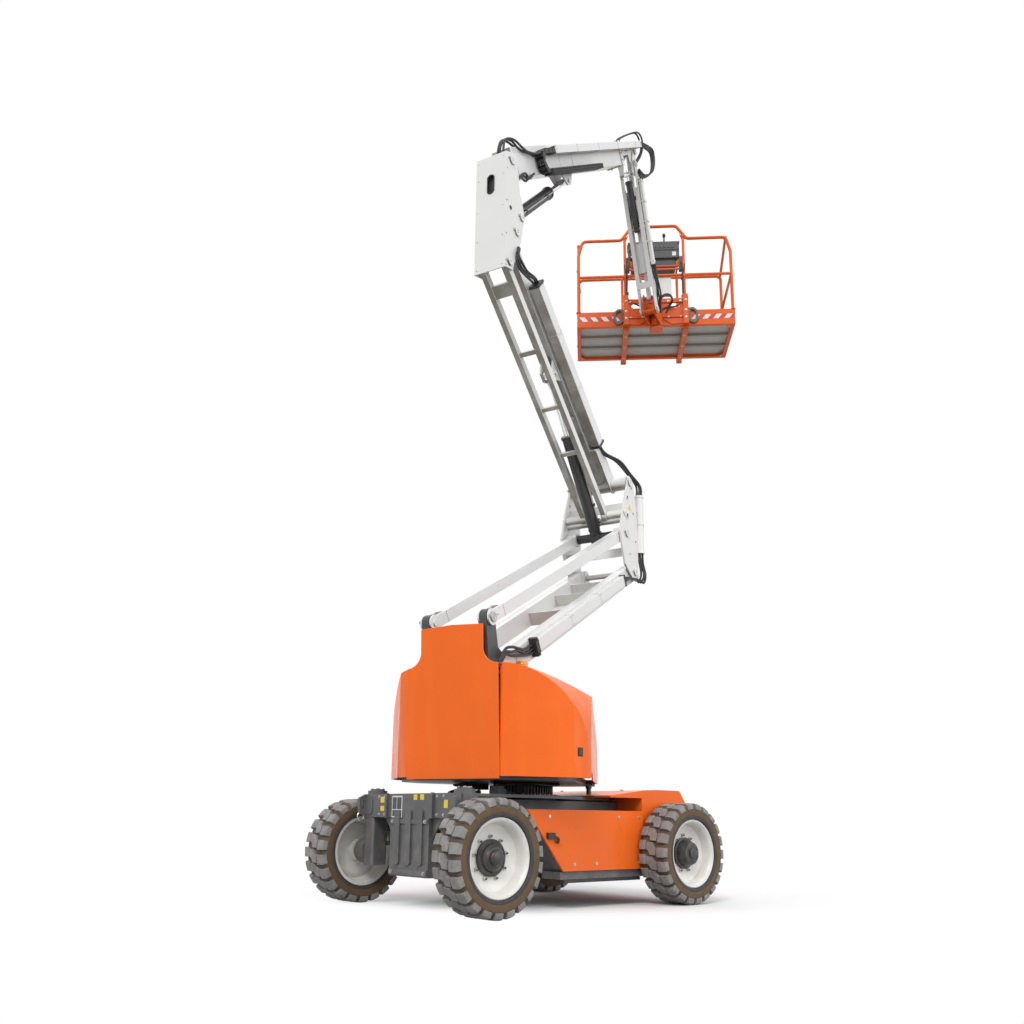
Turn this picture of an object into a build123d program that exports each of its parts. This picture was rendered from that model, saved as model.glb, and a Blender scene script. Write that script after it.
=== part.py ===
from build123d import *
from math import atan2, cos, degrees, hypot, radians, sin
import os

os.makedirs("parts", exist_ok=True)

# Articulating boom lift, in millimetres.
# +X runs from the steering axle to the driven axle, +Y to the left, +Z up, floor at Z = 0.
# The turret and everything on it is drawn in its own slewed frame: s forward along the boom,
# lat to the left of it, h up.  A point of a boom member is (s, h) in the boom's upright plane.

# ---------------------------------------------------------------- driving dimensions
SLEW_X = -1461.0
SLEW_Y = -684.0
SLEW_ANGLE = 18.3

WHEELBASE = 1900.0
TRACK = 1500.0
TYRE_D = 730.0
TYRE_W = 250.0
RIM_D = 490.0
RIM_W = 216.0
LUG_COUNT = 22
LUG_H = 16.0
STEER_KINGPIN_Y = 500.0

DECK_Z = 760.0
SILL_Z = 200.0
BELLY_Z = 250.0
SKIRT_Y = 620.0
SKIRT_TOP_Z = 665.0
HOOD_TOP_Z = 826.0
RUN = 0.3

# turret
TURRET_Z = 850.0
TURRET_PLATE = 50.0
TAIL_S = -950.0
TAIL_HALF = 370.0
NECK_HALF = 254.0
NECK_TOP = 1885.0
NECK_LEAN = 50.0
SHOULDER_Z = 1615.0
COWL_WALL = 8.0

# riser: pins in (s, h); the two arms of a pair are parallel and equally long
LOWER_ANGLE = 27.7
LOWER_LENGTH = 2609.0
LINK_FOOT = (-920.0, 1942.0)
ARM_FOOT_FROM_LINK = (180.0, -330.0)
UPPER_ANGLE = 139.9
UPPER_LENGTH = 2455.0
ARM2_FROM_ARM = (-101.0, 845.0)
LINK2_FROM_ARM2 = (-114.0, -332.0)

# boom
BOOM_ANGLE = 35.9
BOOM_LENGTH = 3491.0
BOOM_PIVOT_FROM_ARM2 = (-99.0, 607.0)
BOOM_CYL_FROM_PIVOT = (173.0, -427.0)
OUTER_W = 170.0
OUTER_H = 240.0
OUTER_LENGTH = BOOM_LENGTH - 471.0
INNER_W = 130.0
INNER_H = 190.0
WALL = 6.0
PAD_GAP = 0.5

# jib
JIB_ANGLE = -69.5
JIB_LENGTH = 1610.0
JIB_FROM_TIP = (-12.0, -165.0)
JIB_LINK_OFFSET = (12.0, 165.0)
PIN_R = 22.0
PIN_CLEAR = 0.05

# platform
PLATFORM_TURN = 25.5
ROTATOR_FROM_JIB = (212.0, 0.0)
PLATFORM_W = 1830.0
PLATFORM_D = 850.0
PLATFORM_EDGE = 90.0
FLOOR_H = 20.0
RAIL_H = 1090.0
MID_RAIL_H = 610.0
RAIL_RISE = 172.0
TUBE = 36.0


# ---------------------------------------------------------------- frames
def polar(angle, length):
    return (length * cos(radians(angle)), length * sin(radians(angle)))


def plus(a, b):
    return (a[0] + b[0], a[1] + b[1])


FORWARD = Vector(cos(radians(SLEW_ANGLE)), sin(radians(SLEW_ANGLE)), 0)
LEFT = Vector(-sin(radians(SLEW_ANGLE)), cos(radians(SLEW_ANGLE)), 0)
UP = Vector(0, 0, 1)
SLEW = Vector(SLEW_X, SLEW_Y, 0)


def turret_point(s, lat, h):
    return SLEW + FORWARD * s + LEFT * lat + UP * h


def chassis(z=0.0):
    """Horizontal plane of the chassis, +x forward, through the slewing axis."""
    return Plane(origin=(SLEW_X, SLEW_Y, z))


def chassis_side(y=0.0):
    """Upright plane of the chassis: x forward, y up, normal to the right."""
    return Plane(origin=(SLEW_X, SLEW_Y + y, 0), x_dir=(1, 0, 0), z_dir=(0, -1, 0))


def chassis_front(x=0.0):
    """Upright plane across the chassis: x to the left, y up, normal forward."""
    return Plane(origin=(SLEW_X + x, SLEW_Y, 0), x_dir=(0, 1, 0), z_dir=(1, 0, 0))


def turret(z=0.0):
    """Horizontal plane of the turret: x along s, y along lat."""
    return Plane(origin=turret_point(0, 0, z), x_dir=FORWARD, z_dir=UP)


def turret_side(lat=0.0):
    """Upright plane of the boom: x along s, y up, normal to the right."""
    return Plane(origin=turret_point(0, lat, 0), x_dir=FORWARD, z_dir=LEFT * -1)


def turret_back(s=0.0):
    """Upright plane across the turret: x to the left, y up, normal forward."""
    return Plane(origin=turret_point(s, 0, 0), x_dir=LEFT, z_dir=FORWARD)


def along(start, end, lat=0.0):
    """Upright plane with its origin on the start pin and x towards the end pin."""
    d = Vector(end[0] - start[0], end[1] - start[1], 0).normalized()
    return Plane(
        origin=turret_point(start[0], lat, start[1]),
        x_dir=FORWARD * d.X + UP * d.Y,
        z_dir=LEFT * -1,
    )


def across(start, end, distance):
    """Cross-section plane of a member: x up its depth, y to the right, normal along it."""
    d = Vector(end[0] - start[0], end[1] - start[1], 0).normalized()
    p = (start[0] + d.X * distance, start[1] + d.Y * distance)
    direction = FORWARD * d.X + UP * d.Y
    depth = FORWARD * -d.Y + UP * d.X
    return Plane(origin=turret_point(p[0], 0, p[1]), x_dir=depth, z_dir=direction)


def save(part, name):
    part.label = name
    export_step(part, "parts/" + name + ".step")


# ---------------------------------------------------------------- pins of the boom plane
LOWER = polar(LOWER_ANGLE, LOWER_LENGTH)
UPPER = polar(UPPER_ANGLE, UPPER_LENGTH)
LINK_TOP = plus(LINK_FOOT, LOWER)
ARM_FOOT = plus(LINK_FOOT, ARM_FOOT_FROM_LINK)
ARM_TOP = plus(ARM_FOOT, LOWER)
ARM2_FOOT = plus(ARM_TOP, ARM2_FROM_ARM)
LINK2_FOOT = plus(ARM2_FOOT, LINK2_FROM_ARM2)
ARM2_TOP = plus(ARM2_FOOT, UPPER)
LINK2_TOP = plus(LINK2_FOOT, UPPER)
BOOM_FOOT = plus(ARM2_TOP, BOOM_PIVOT_FROM_ARM2)
BOOM_CYL_FOOT = plus(BOOM_FOOT, BOOM_CYL_FROM_PIVOT)
BOOM_TIP = plus(BOOM_FOOT, polar(BOOM_ANGLE, BOOM_LENGTH))
JIB_FOOT = plus(BOOM_TIP, JIB_FROM_TIP)
JIB_TIP = plus(JIB_FOOT, polar(JIB_ANGLE, JIB_LENGTH))
JIB_LINK_FOOT = plus(JIB_FOOT, JIB_LINK_OFFSET)
JIB_LINK_TIP = plus(JIB_TIP, JIB_LINK_OFFSET)
ROTATOR = plus(JIB_TIP, ROTATOR_FROM_JIB)


# ================================================================ chassis
AXLE_X = WHEELBASE / 2
WHEEL_R = TYRE_D / 2
HUB_FACE = TRACK / 2 - 60.0
BEAM_X = (-1020.0, -900.0)
BEAM_HALF = 575.0
BEAM_Z = 600.0
BULK_HALF = 220.0
BULK_Z = 215.0
BOX_HALF = 360.0
POD_Y = 600.0
POD_FRONT = 680.0
LUG_HOLE_R = 20.0
STEER_ARM = 125.0
STEER_ROD_Z = WHEEL_R + 55
STEER_ROD_X = -AXLE_X + STEER_ARM
STEER_RECESS = 110.0

with BuildPart() as chassis_frame:
    # centre box between the wheels
    with BuildSketch(chassis(SILL_Z + 80)):
        with Locations((25, 0)):
            Rectangle(1290, 2 * BOX_HALF)
    extrude(amount=DECK_Z - SILL_Z - 110)
    # steering-axle beam, bulkhead and deck plate
    with BuildSketch(chassis(BEAM_Z)):
        with Locations(((BEAM_X[0] + BEAM_X[1]) / 2, 0)):
            Rectangle(BEAM_X[1] - BEAM_X[0], 2 * BEAM_HALF)
    extrude(amount=DECK_Z - BEAM_Z)
    with BuildSketch(chassis(BULK_Z)):
        with Locations((-820, 0)):
            Rectangle(400, 2 * BULK_HALF)
    extrude(amount=DECK_Z - BULK_Z)
    with BuildSketch(chassis(DECK_Z - 20)):
        with Locations((-460, 0)):
            Rectangle(1120, 2 * BEAM_HALF - 60)
        with Locations((180, 0)):
            Rectangle(800, 2 * BOX_HALF)
    extrude(amount=20)
    # pods behind the side skirts, with the edge that slants back from the steered wheel
    for side in (-1, 1):
        with BuildSketch(chassis_side(side * (BOX_HALF - 5))):
            with BuildLine():
                Polyline((-470, SKIRT_TOP_Z - 15), (-160, BELLY_Z), (POD_FRONT, BELLY_Z),
                         (POD_FRONT, SKIRT_TOP_Z - 15), close=True)
            make_face()
        extrude(amount=-side * (POD_Y - BOX_HALF + 5))
        # sill below the pod
        with BuildSketch(chassis(SILL_Z)):
            with Locations((250, side * (POD_Y - 90))):
                Rectangle(860, 180)
        extrude(amount=BELLY_Z - SILL_Z)
        # kingpin housing and tie-down lug at the beam's end
        with BuildSketch(chassis(BEAM_Z)):
            with Locations((-AXLE_X, side * STEER_KINGPIN_Y)):
                Circle(70)
        extrude(amount=DECK_Z + 25 - BEAM_Z)
        with BuildSketch(chassis_side(side * (BEAM_HALF - 25))):
            with BuildLine():
                Polyline((-1020, BEAM_Z), (-1020, DECK_Z), (-1075, DECK_Z - 25),
                         (-1075, BEAM_Z + 30), close=True)
            make_face()
        extrude(amount=12.5, both=True)
        with BuildSketch(chassis_side(side * (BEAM_HALF - 25))):
            with Locations((-1045, (BEAM_Z + DECK_Z) / 2)):
                SlotOverall(2 * LUG_HOLE_R + 30, LUG_HOLE_R, rotation=90)
        extrude(amount=15, both=True, mode=Mode.SUBTRACT)
    # pressed ribs on the bulkhead
    with BuildSketch(chassis_front(-1020)):
        with Locations((-130, 470), (0, 470), (130, 470)):
            RectangleRounded(60, 360, 20)
    extrude(amount=-14)
    # recess across the bulkhead for the steering cylinder
    with BuildSketch(chassis_side(0)):
        with Locations((STEER_ROD_X, STEER_ROD_Z)):
            Rectangle(STEER_RECESS, STEER_RECESS)
    extrude(amount=BULK_HALF + 5, both=True, mode=Mode.SUBTRACT)
    # slewing seat
    with BuildSketch(chassis(DECK_Z - 60)):
        Circle(300)
    extrude(amount=70)
    # bore of the kingpins
    for side in (-1, 1):
        with BuildSketch(chassis(BEAM_Z - 1)):
            with Locations((-AXLE_X, side * STEER_KINGPIN_Y)):
                Circle(35 + PIN_CLEAR)
        extrude(amount=DECK_Z - BEAM_Z - 19, mode=Mode.SUBTRACT)
save(chassis_frame.part, "chassis_frame")

with BuildPart() as side_skirts:
    for side in (-1, 1):
        with BuildSketch(chassis_side(side * POD_Y)):
            with BuildLine():
                Polyline((-510, SKIRT_TOP_Z), (-170, BELLY_Z + 4), (POD_FRONT - 10, BELLY_Z + 4),
                         (POD_FRONT - 10, SKIRT_TOP_Z), close=True)
            make_face()
        extrude(amount=-side * (SKIRT_Y - POD_Y))
save(side_skirts.part, "side_skirts")

HOOD_BACK = POD_FRONT + RUN
HOOD_END = 1270.0
HOOD_HALF = 600.0
with BuildPart() as drive_hood:
    with BuildSketch(chassis_side(0)):
        with BuildLine():
            Polyline((330, DECK_Z + RUN), (330, DECK_Z + 14), (720, HOOD_TOP_Z - 6), (860, HOOD_TOP_Z),
                     (1130, HOOD_TOP_Z), (HOOD_END, 640), (HOOD_END, 300), (HOOD_BACK, 300),
                     (HOOD_BACK, DECK_Z + RUN), close=True)
        make_face()
    extrude(amount=HOOD_HALF, both=True)
    fillet(drive_hood.edges().filter_by(Axis.X, reverse=True).group_by(Axis.Z)[-1], 40)
    for side in (-1, 1):
        with BuildSketch(chassis_side(side * (HOOD_HALF + 10))):
            with Locations((AXLE_X, WHEEL_R)):
                Circle(150)
        extrude(amount=side * 380, mode=Mode.SUBTRACT)
save(drive_hood.part, "drive_hood")

# drive axle: cross tube with a motor flange at each end, in the hood's side recesses
with BuildPart() as drive_axle:
    for side in (-1, 1):
        with BuildSketch(Plane(origin=(SLEW_X + AXLE_X, SLEW_Y + side * (HOOD_HALF - 370), WHEEL_R),
                               x_dir=(1, 0, 0), z_dir=(0, side, 0))):
            Circle(85)
        extrude(amount=TRACK / 2 - 100 - HOOD_HALF + 370)
        with BuildSketch(Plane(origin=(SLEW_X + AXLE_X, SLEW_Y + side * (TRACK / 2 - 100), WHEEL_R),
                               x_dir=(1, 0, 0), z_dir=(0, side, 0))):
            Circle(120)
        extrude(amount=55 - RUN)
save(drive_axle.part, "drive_axle")

# slewing ring with its outer teeth, fixed to the chassis
RING_R = 225.0
RING_TEETH = 60
RING_Z = DECK_Z + 10
with BuildPart() as slew_ring:
    with BuildSketch(chassis(RING_Z)):
        Circle(RING_R)
        with PolarLocations(RING_R + 4, RING_TEETH):
            Rectangle(18, 11)
    extrude(amount=TURRET_Z - RING_Z - 12)
save(slew_ring.part, "slew_ring")

# ---------------------------------------------------------------- steering
SPINDLE_R = 30.0
for name, side in (("left", 1), ("right", -1)):
    centre = (SLEW_X - AXLE_X, SLEW_Y + side * STEER_KINGPIN_Y)
    with BuildPart() as knuckle:
        with BuildSketch(Plane(origin=(centre[0], centre[1], WHEEL_R - 95))):
            RectangleRounded(130, 110, 20)
        extrude(amount=BEAM_Z - RUN - WHEEL_R + 95)
        with BuildSketch(Plane(origin=(centre[0], centre[1], BEAM_Z - RUN))):
            Circle(35)
        extrude(amount=DECK_Z - BEAM_Z - 40)
        # spindle flange and spindle towards the wheel
        outward = Plane(origin=(centre[0], centre[1] + side * 50, WHEEL_R), x_dir=(1, 0, 0),
                        z_dir=(0, side, 0))
        with BuildSketch(outward):
            Circle(85)
        extrude(amount=TRACK / 2 - STEER_KINGPIN_Y - 150)
        with BuildSketch(outward):
            Circle(SPINDLE_R)
        extrude(amount=TRACK / 2 - STEER_KINGPIN_Y - 50 - 18)
        # steering arm
        with BuildSketch(Plane(origin=(centre[0], centre[1], WHEEL_R + 40))):
            with BuildLine():
                Polyline((-60, -45), (150, -side * 25 - 25), (150, -side * 25 + 25), (-60, 45),
                         close=True)
            make_face()
        extrude(amount=30)
    save(knuckle.part, "knuckle_" + name)

with BuildPart() as steer_cylinder:
    with BuildSketch(chassis_side(0)):
        with Locations((STEER_ROD_X, STEER_ROD_Z)):
            Circle(38)
    extrude(amount=BULK_HALF - 30, both=True)
    # clamps that hold the barrel in its recess
    for side in (-1, 1):
        with BuildSketch(chassis_side(side * (BULK_HALF - 90))):
            with Locations((STEER_ROD_X, STEER_ROD_Z)):
                Rectangle(STEER_RECESS - 2 * RUN, 84)
        extrude(amount=20, both=True)
    with BuildSketch(chassis_side(0)):
        with Locations((STEER_ROD_X, STEER_ROD_Z)):
            Circle(16 + PIN_CLEAR)
    extrude(amount=BULK_HALF, both=True, mode=Mode.SUBTRACT)
save(steer_cylinder.part, "steer_cylinder")

with BuildPart() as steer_rod:
    with BuildSketch(chassis_side(0)):
        with Locations((STEER_ROD_X, STEER_ROD_Z)):
            Circle(16)
    extrude(amount=STEER_KINGPIN_Y - 60, both=True)
save(steer_rod.part, "steer_rod")

# ---------------------------------------------------------------- wheels
WHEELS = (("steer_left", -1, 1), ("steer_right", -1, -1), ("drive_left", 1, 1),
          ("drive_right", 1, -1))
for name, end, side in WHEELS:
    centre = (SLEW_X + end * AXLE_X, SLEW_Y + side * TRACK / 2, WHEEL_R)
    radial = Plane(origin=centre, x_dir=(0, side, 0), z_dir=(side, 0, 0))
    axle = Axis(centre, (0, 1, 0))
    half = TYRE_W / 2
    base_r = WHEEL_R - LUG_H
    with BuildPart() as tyre:
        with BuildSketch(radial):
            with BuildLine():
                Polyline((-half + 22, RIM_D / 2), (half - 22, RIM_D / 2), (half, RIM_D / 2 + 25),
                         (half, base_r - 35), (half - 22, base_r), (-half + 22, base_r),
                         (-half, base_r - 35), (-half, RIM_D / 2 + 25), close=True)
            make_face()
        revolve(axis=axle)
        # two staggered rows of lugs
        for row, turn in ((-1, 0.0), (1, 0.5)):
            rows = Plane(origin=(centre[0], centre[1] + row * 2, centre[2]), x_dir=(1, 0, 0),
                         z_dir=(0, row, 0))
            with BuildSketch(rows):
                with PolarLocations(base_r, LUG_COUNT, start_angle=360 / LUG_COUNT * turn):
                    Polygon((-30, -36), (LUG_H, -27), (LUG_H, 27), (-30, 36), align=None)
            extrude(amount=half - 12)
    save(tyre.part, "tyre_" + name)
    with BuildPart() as rim:
        with BuildSketch(radial):
            with BuildLine():
                Polyline((-RIM_W / 2, RIM_D / 2 - RUN), (RIM_W / 2, RIM_D / 2 - RUN),
                         (RIM_W / 2, RIM_D / 2 - 14), (RIM_W / 2 - 20, RIM_D / 2 - 30),
                         (30, RIM_D / 2 - 42), (10, 150), (10, 75), (-4, 75), (-4, 160),
                         (10, RIM_D / 2 - 50), (-RIM_W / 2, RIM_D / 2 - 20), close=True)
            make_face()
        revolve(axis=axle)
        # hub bolted to the dish
        hub_face = 78.0 if end > 0 else 52.0
        with BuildSketch(radial):
            with BuildLine():
                Polyline((-45, 0), (hub_face, 0), (hub_face, 62), (hub_face - 14, 78), (24, 92),
                         (24, 110), (-4, 110), (-4, 74), (-45, 74), close=True)
            make_face()
        revolve(axis=axle)
        if end < 0:
            with BuildSketch(Plane(origin=(centre[0], centre[1] - side * 46, centre[2]),
                                   x_dir=(1, 0, 0), z_dir=(0, side, 0))):
                Circle(SPINDLE_R + PIN_CLEAR)
            extrude(amount=30, mode=Mode.SUBTRACT)
    save(rim.part, "rim_" + name)

# ================================================================ turret
TOWER_LAT = 237.0
TOWER_T = 56.0
PLATE_TOP = TURRET_Z + TURRET_PLATE
LINK_BOSS_R = 60.0
PIN_TOWER_R = 25.0
HINGE_AT = (530.0, 352.0)
HINGE_R = 9.0
TIE_PLATE = (880.0, 1180.0)

with BuildPart() as turret_frame:
    # base plate over the ring
    with BuildSketch(turret(TURRET_Z)):
        with BuildLine():
            Polyline((TAIL_S + 25, -330), (-640, -640), (-420, -660), (100, -460), (520, -300),
                     (520, 300), (100, 460), (-420, 660), (-640, 640), (TAIL_S + 25, 330), close=True)
        make_face()
    extrude(amount=TURRET_PLATE)
    with BuildSketch(turret(TURRET_Z - 11.5)):
        Circle(RING_R - 15)
    extrude(amount=15)
    # twin towers, rounded round the link pins and low enough in front for the arm
    for side in (-1, 1):
        lat = side * TOWER_LAT
        with BuildSketch(turret_side(lat)):
            with BuildLine():
                Polyline((TAIL_S + 30, PLATE_TOP - 5), (TAIL_S + 30, 1500), (-973, LINK_FOOT[1] - 30),
                         (-862, LINK_FOOT[1] + 5), (-815, 1750), (-690, 1690), (-640, 1560),
                         (-560, 1300), (-60, PLATE_TOP + 90), (-60, PLATE_TOP - 5), close=True)
            make_face()
            with Locations(LINK_FOOT):
                Circle(LINK_BOSS_R)
            with Locations(ARM_FOOT):
                Circle(80)
        extrude(amount=TOWER_T / 2, both=True)
        with BuildSketch(turret_side(lat)):
            with Locations(LINK_FOOT):
                Circle(PIN_TOWER_R + PIN_CLEAR)
            with Locations(ARM_FOOT):
                Circle(PIN_TOWER_R + PIN_CLEAR)
        extrude(amount=TOWER_T, both=True, mode=Mode.SUBTRACT)
    # cross plate that ties the towers behind the riser
    with BuildSketch(turret_back(TAIL_S + 32)):
        with Locations((0, (TIE_PLATE[0] + TIE_PLATE[1]) / 2)):
            Rectangle(2 * TOWER_LAT - TOWER_T + 2, TIE_PLATE[1] - TIE_PLATE[0])
    extrude(amount=14)
    # brackets that carry the tail cowl
    for side in (-1, 1):
        for low, face in ((880, 944.0), (1500, 974.0)):
            with BuildSketch(turret(low)):
                with Locations((-(face + 918) / 2, side * TOWER_LAT)):
                    Rectangle(face - 918, 40)
            extrude(amount=40)
        # hinge pin of the side cowl at the front
        with BuildSketch(turret(TURRET_Z)):
            with Locations((HINGE_AT[0] - 20, side * (HINGE_AT[1] - 30))):
                Rectangle(50, 76)
        extrude(amount=TURRET_PLATE)
        with BuildSketch(turret(PLATE_TOP - 1)):
            with Locations((HINGE_AT[0], side * HINGE_AT[1])):
                Circle(HINGE_R)
        extrude(amount=141)
save(turret_frame.part, "turret_frame")

# tail cowl: a plate that leans back, wide below the shoulders and narrow at the neck
COWL_BOTTOM = 870.0
TAIL_BASE = 854.0
TAIL_RISE = NECK_TOP - TAIL_BASE
SHOULDER_R = 116.0
TAIL_T = 12.0
tail_plane = Plane(origin=turret_point(TAIL_S - 5, 0, TAIL_BASE), x_dir=LEFT,
                   z_dir=FORWARD * TAIL_RISE + UP * NECK_LEAN)
with BuildPart() as cowl_tail:
    with BuildSketch(tail_plane):
        with BuildLine():
            outline = Polyline((0, 0), (-TAIL_HALF, 0), (-TAIL_HALF, SHOULDER_Z - TAIL_BASE))
            shoulder = RadiusArc(outline @ 1, (-NECK_HALF, SHOULDER_Z - TAIL_BASE + 95), -SHOULDER_R)
            crown = Polyline(shoulder @ 1, (-NECK_HALF, TAIL_RISE), (0, TAIL_RISE + 12))
            mirror(about=Plane.YZ)
        make_face()
    extrude(amount=TAIL_T)
save(cowl_tail.part, "cowl_tail")

# side cowls: plan corners from the tail split line round to the front
COWL_PLAN = ((TAIL_S, TAIL_HALF + 6), (-915, 478), (-620, 752), (-520, 788), (-430, 786), (60, 575),
             (560, 372))
COWL_INNER = 345.0
CROWN_CENTRE = (370.0, 1140.0)
CROWN_RISE = 480.0
CROWN_REACH = 420.0
SLOPE = ((-960, 1700), (-960, 1650), (-620, 1560), (0, 1400), (420, 1230), (575, 1100), (575, 1700))


def cowl_body(side, wall):
    """Plan outline, crown across and slope along, all taken in by the wall."""
    with BuildPart() as body:
        with BuildSketch(turret(COWL_BOTTOM - (1 if wall else 0))):
            with BuildLine():
                Polyline([(s + (wall if s < -700 else -wall if s > 300 else 0), side * (lat - wall * 1.25))
                          for s, lat in COWL_PLAN]
                         + [(COWL_PLAN[-1][0] - wall, side * (COWL_INNER - wall)),
                            (TAIL_S + 15, side * (COWL_INNER - wall)),
                            (TAIL_S + 15, side * (TAIL_HALF + 5 - wall))], close=True)
            make_face()
        extrude(amount=900)
        with BuildSketch(turret_back(COWL_PLAN[0][0] - 20)):
            with BuildLine():
                top = CROWN_CENTRE[1] + CROWN_RISE - wall
                EllipticalCenterArc((side * CROWN_CENTRE[0], CROWN_CENTRE[1]),
                                    CROWN_REACH - wall, CROWN_RISE - wall,
                                    start_angle=0 if side > 0 else 90, arc_size=90)
                Polyline((side * CROWN_CENTRE[0], top), (side * 200, top),
                         (side * 200, 800), (side * (CROWN_CENTRE[0] + CROWN_REACH - wall), 800),
                         (side * (CROWN_CENTRE[0] + CROWN_REACH - wall), CROWN_CENTRE[1]))
            make_face()
        extrude(amount=1700, mode=Mode.INTERSECT)
        with BuildSketch(turret_side(0)):
            with BuildLine():
                Polyline([(s, h - wall * 1.1) for s, h in SLOPE[1:-1]] + [(SLOPE[-1][0], 1800),
                         (SLOPE[0][0], 1800)], close=True)
            make_face()
        extrude(amount=1000, both=True, mode=Mode.SUBTRACT)
    return body.part


for name, side in (("left", 1), ("right", -1)):
    with BuildPart() as cowl:
        add(cowl_body(side, 0))
        add(cowl_body(side, COWL_WALL), mode=Mode.SUBTRACT)
        # scooped lower corner
        with BuildSketch(turret_side(0)):
            with Locations((-300, COWL_BOTTOM - 190)):
                Circle(240)
        extrude(amount=1000, both=True, mode=Mode.SUBTRACT)
        # ears round the hinge pin
        for low in (PLATE_TOP + 20, PLATE_TOP + 100):
            with BuildSketch(turret(low)):
                with BuildLine():
                    Polyline((505, side * 338), (555, side * 338), (555, side * 370),
                             (505, side * 390), close=True)
                make_face()
                with Locations((HINGE_AT[0], side * HINGE_AT[1])):
                    Circle(HINGE_R + PIN_CLEAR, mode=Mode.SUBTRACT)
            extrude(amount=12)
    save(cowl.part, "cowl_" + name)

# batteries on both sides of the well, the tail weight between the towers and the valve block
with BuildPart() as battery_packs:
    for side in (-1, 1):
        with BuildSketch(turret(PLATE_TOP)):
            with Locations((-400, side * 450)):
                Rectangle(560, 230)
        extrude(amount=300)
        with BuildSketch(turret(PLATE_TOP)):
            with Locations((60, side * 385)):
                Rectangle(300, 120)
        extrude(amount=180)
save(battery_packs.part, "battery_packs")

WEIGHT_HALF = TOWER_LAT - TOWER_T / 2 - 8
with BuildPart() as counterweight:
    with BuildSketch(turret(PLATE_TOP)):
        with Locations((-760, 0)):
            Rectangle(280, 2 * WEIGHT_HALF)
    extrude(amount=230)
save(counterweight.part, "counterweight")

# warning lamp on a bracket inside the right cowl's inner edge
BEACON_AT = (-560.0, -315.0)
BEACON_STALK = 700.0
with BuildPart() as beacon:
    with BuildSketch(turret(PLATE_TOP)):
        with Locations(BEACON_AT):
            Rectangle(24, 14)
    extrude(amount=BEACON_STALK)
    with BuildSketch(turret(PLATE_TOP + BEACON_STALK)):
        with Locations(BEACON_AT):
            Circle(24)
    extrude(amount=25)
    with BuildSketch(turret(PLATE_TOP + BEACON_STALK + 25)):
        with Locations(BEACON_AT):
            Circle(21)
    extrude(amount=50, taper=6)
save(beacon.part, "beacon")

# ================================================================ riser
LINK_W = 90.0
LINK_H = 90.0
FORK_T = 12.0
FORK_L = 150.0
CHEEK_R = 58.0
SHAFT_R = 30.0
with BuildPart() as lower_links:
    for side in (-1, 1):
        lat = side * TOWER_LAT
        with BuildSketch(along(LINK_FOOT, LINK_TOP, lat)):
            with Locations(((FORK_L + LOWER_LENGTH) / 2, 0)):
                Rectangle(LOWER_LENGTH - FORK_L, LINK_H)
            with Locations((LOWER_LENGTH, 0)):
                Circle(55)
        extrude(amount=LINK_W / 2, both=True)
        for cheek in (-1, 1):
            with BuildSketch(along(LINK_FOOT, LINK_TOP, lat + cheek * (LINK_W - FORK_T) / 2)):
                Circle(CHEEK_R)
                with Locations((FORK_L / 2 + 10, 0)):
                    Rectangle(FORK_L + 20, LINK_H)
            extrude(amount=FORK_T / 2, both=True)
        with BuildSketch(along(LINK_FOOT, LINK_TOP, lat)):
            with Locations((LOWER_LENGTH, 0)):
                Circle(SHAFT_R + PIN_CLEAR)
        extrude(amount=LINK_W, both=True, mode=Mode.SUBTRACT)
        # foot pin through both cheeks, turning in the tower
        with BuildSketch(along(LINK_FOOT, LINK_TOP, lat)):
            Circle(PIN_TOWER_R)
        extrude(amount=LINK_W / 2 + 8, both=True)
save(lower_links.part, "lower_links")

RAIL_DEPTH = 150.0
RAIL_W = 90.0
DUCT_LAT = TOWER_LAT + RAIL_W / 2 - 1
DUCT_W = 44.0
DUCT_H = 92.0
with BuildPart() as lower_arm:
    for side in (-1, 1):
        lat = side * TOWER_LAT
        with BuildSketch(along(ARM_FOOT, ARM_TOP, lat)):
            with Locations(((FORK_L + LOWER_LENGTH) / 2, 0)):
                Rectangle(LOWER_LENGTH - FORK_L, RAIL_DEPTH)
            with Locations((LOWER_LENGTH, 0)):
                Circle(72)
        extrude(amount=RAIL_W / 2, both=True)
        for cheek in (-1, 1):
            with BuildSketch(along(ARM_FOOT, ARM_TOP, lat + cheek * (RAIL_W - FORK_T) / 2)):
                Circle(72)
                with Locations((FORK_L / 2 + 10, 0)):
                    Rectangle(FORK_L + 20, 2 * 68)
            extrude(amount=FORK_T / 2, both=True)
        with BuildSketch(along(ARM_FOOT, ARM_TOP, lat)):
            Circle(PIN_TOWER_R)
        extrude(amount=RAIL_W / 2 + 8, both=True)
    # floor between the rails, with the upright gussets that close its box
    inner = 2 * TOWER_LAT - RAIL_W + 2
    for at, length, up, depth in ((1350, 900, -RAIL_DEPTH / 2 + 6, 12), (1350, 12, -20, 110),
                                  (1880, 12, -20, 110), (2238, 12, -20, 110)):
        with BuildSketch(across(ARM_FOOT, ARM_TOP, at)):
            with Locations((up, 0)):
                Rectangle(depth, inner)
        extrude(amount=length)
    with BuildSketch(along(ARM_FOOT, ARM_TOP, 0)):
        with Locations((LOWER_LENGTH, 0)):
            Circle(PIN_TOWER_R + PIN_CLEAR)
    extrude(amount=400, both=True, mode=Mode.SUBTRACT)
    # hose duct on the outside of the right rail, with its clamp bracket
    with BuildSketch(along(ARM_FOOT, ARM_TOP, -DUCT_LAT)):
        with Locations(((450 + 2300) / 2, 10)):
            Rectangle(2300 - 450, DUCT_H)
    extrude(amount=DUCT_W)
    with BuildSketch(along(ARM_FOOT, ARM_TOP, -DUCT_LAT)):
        with Locations((430, 10)):
            Rectangle(26, DUCT_H + 16)
    extrude(amount=DUCT_W + 6)
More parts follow.
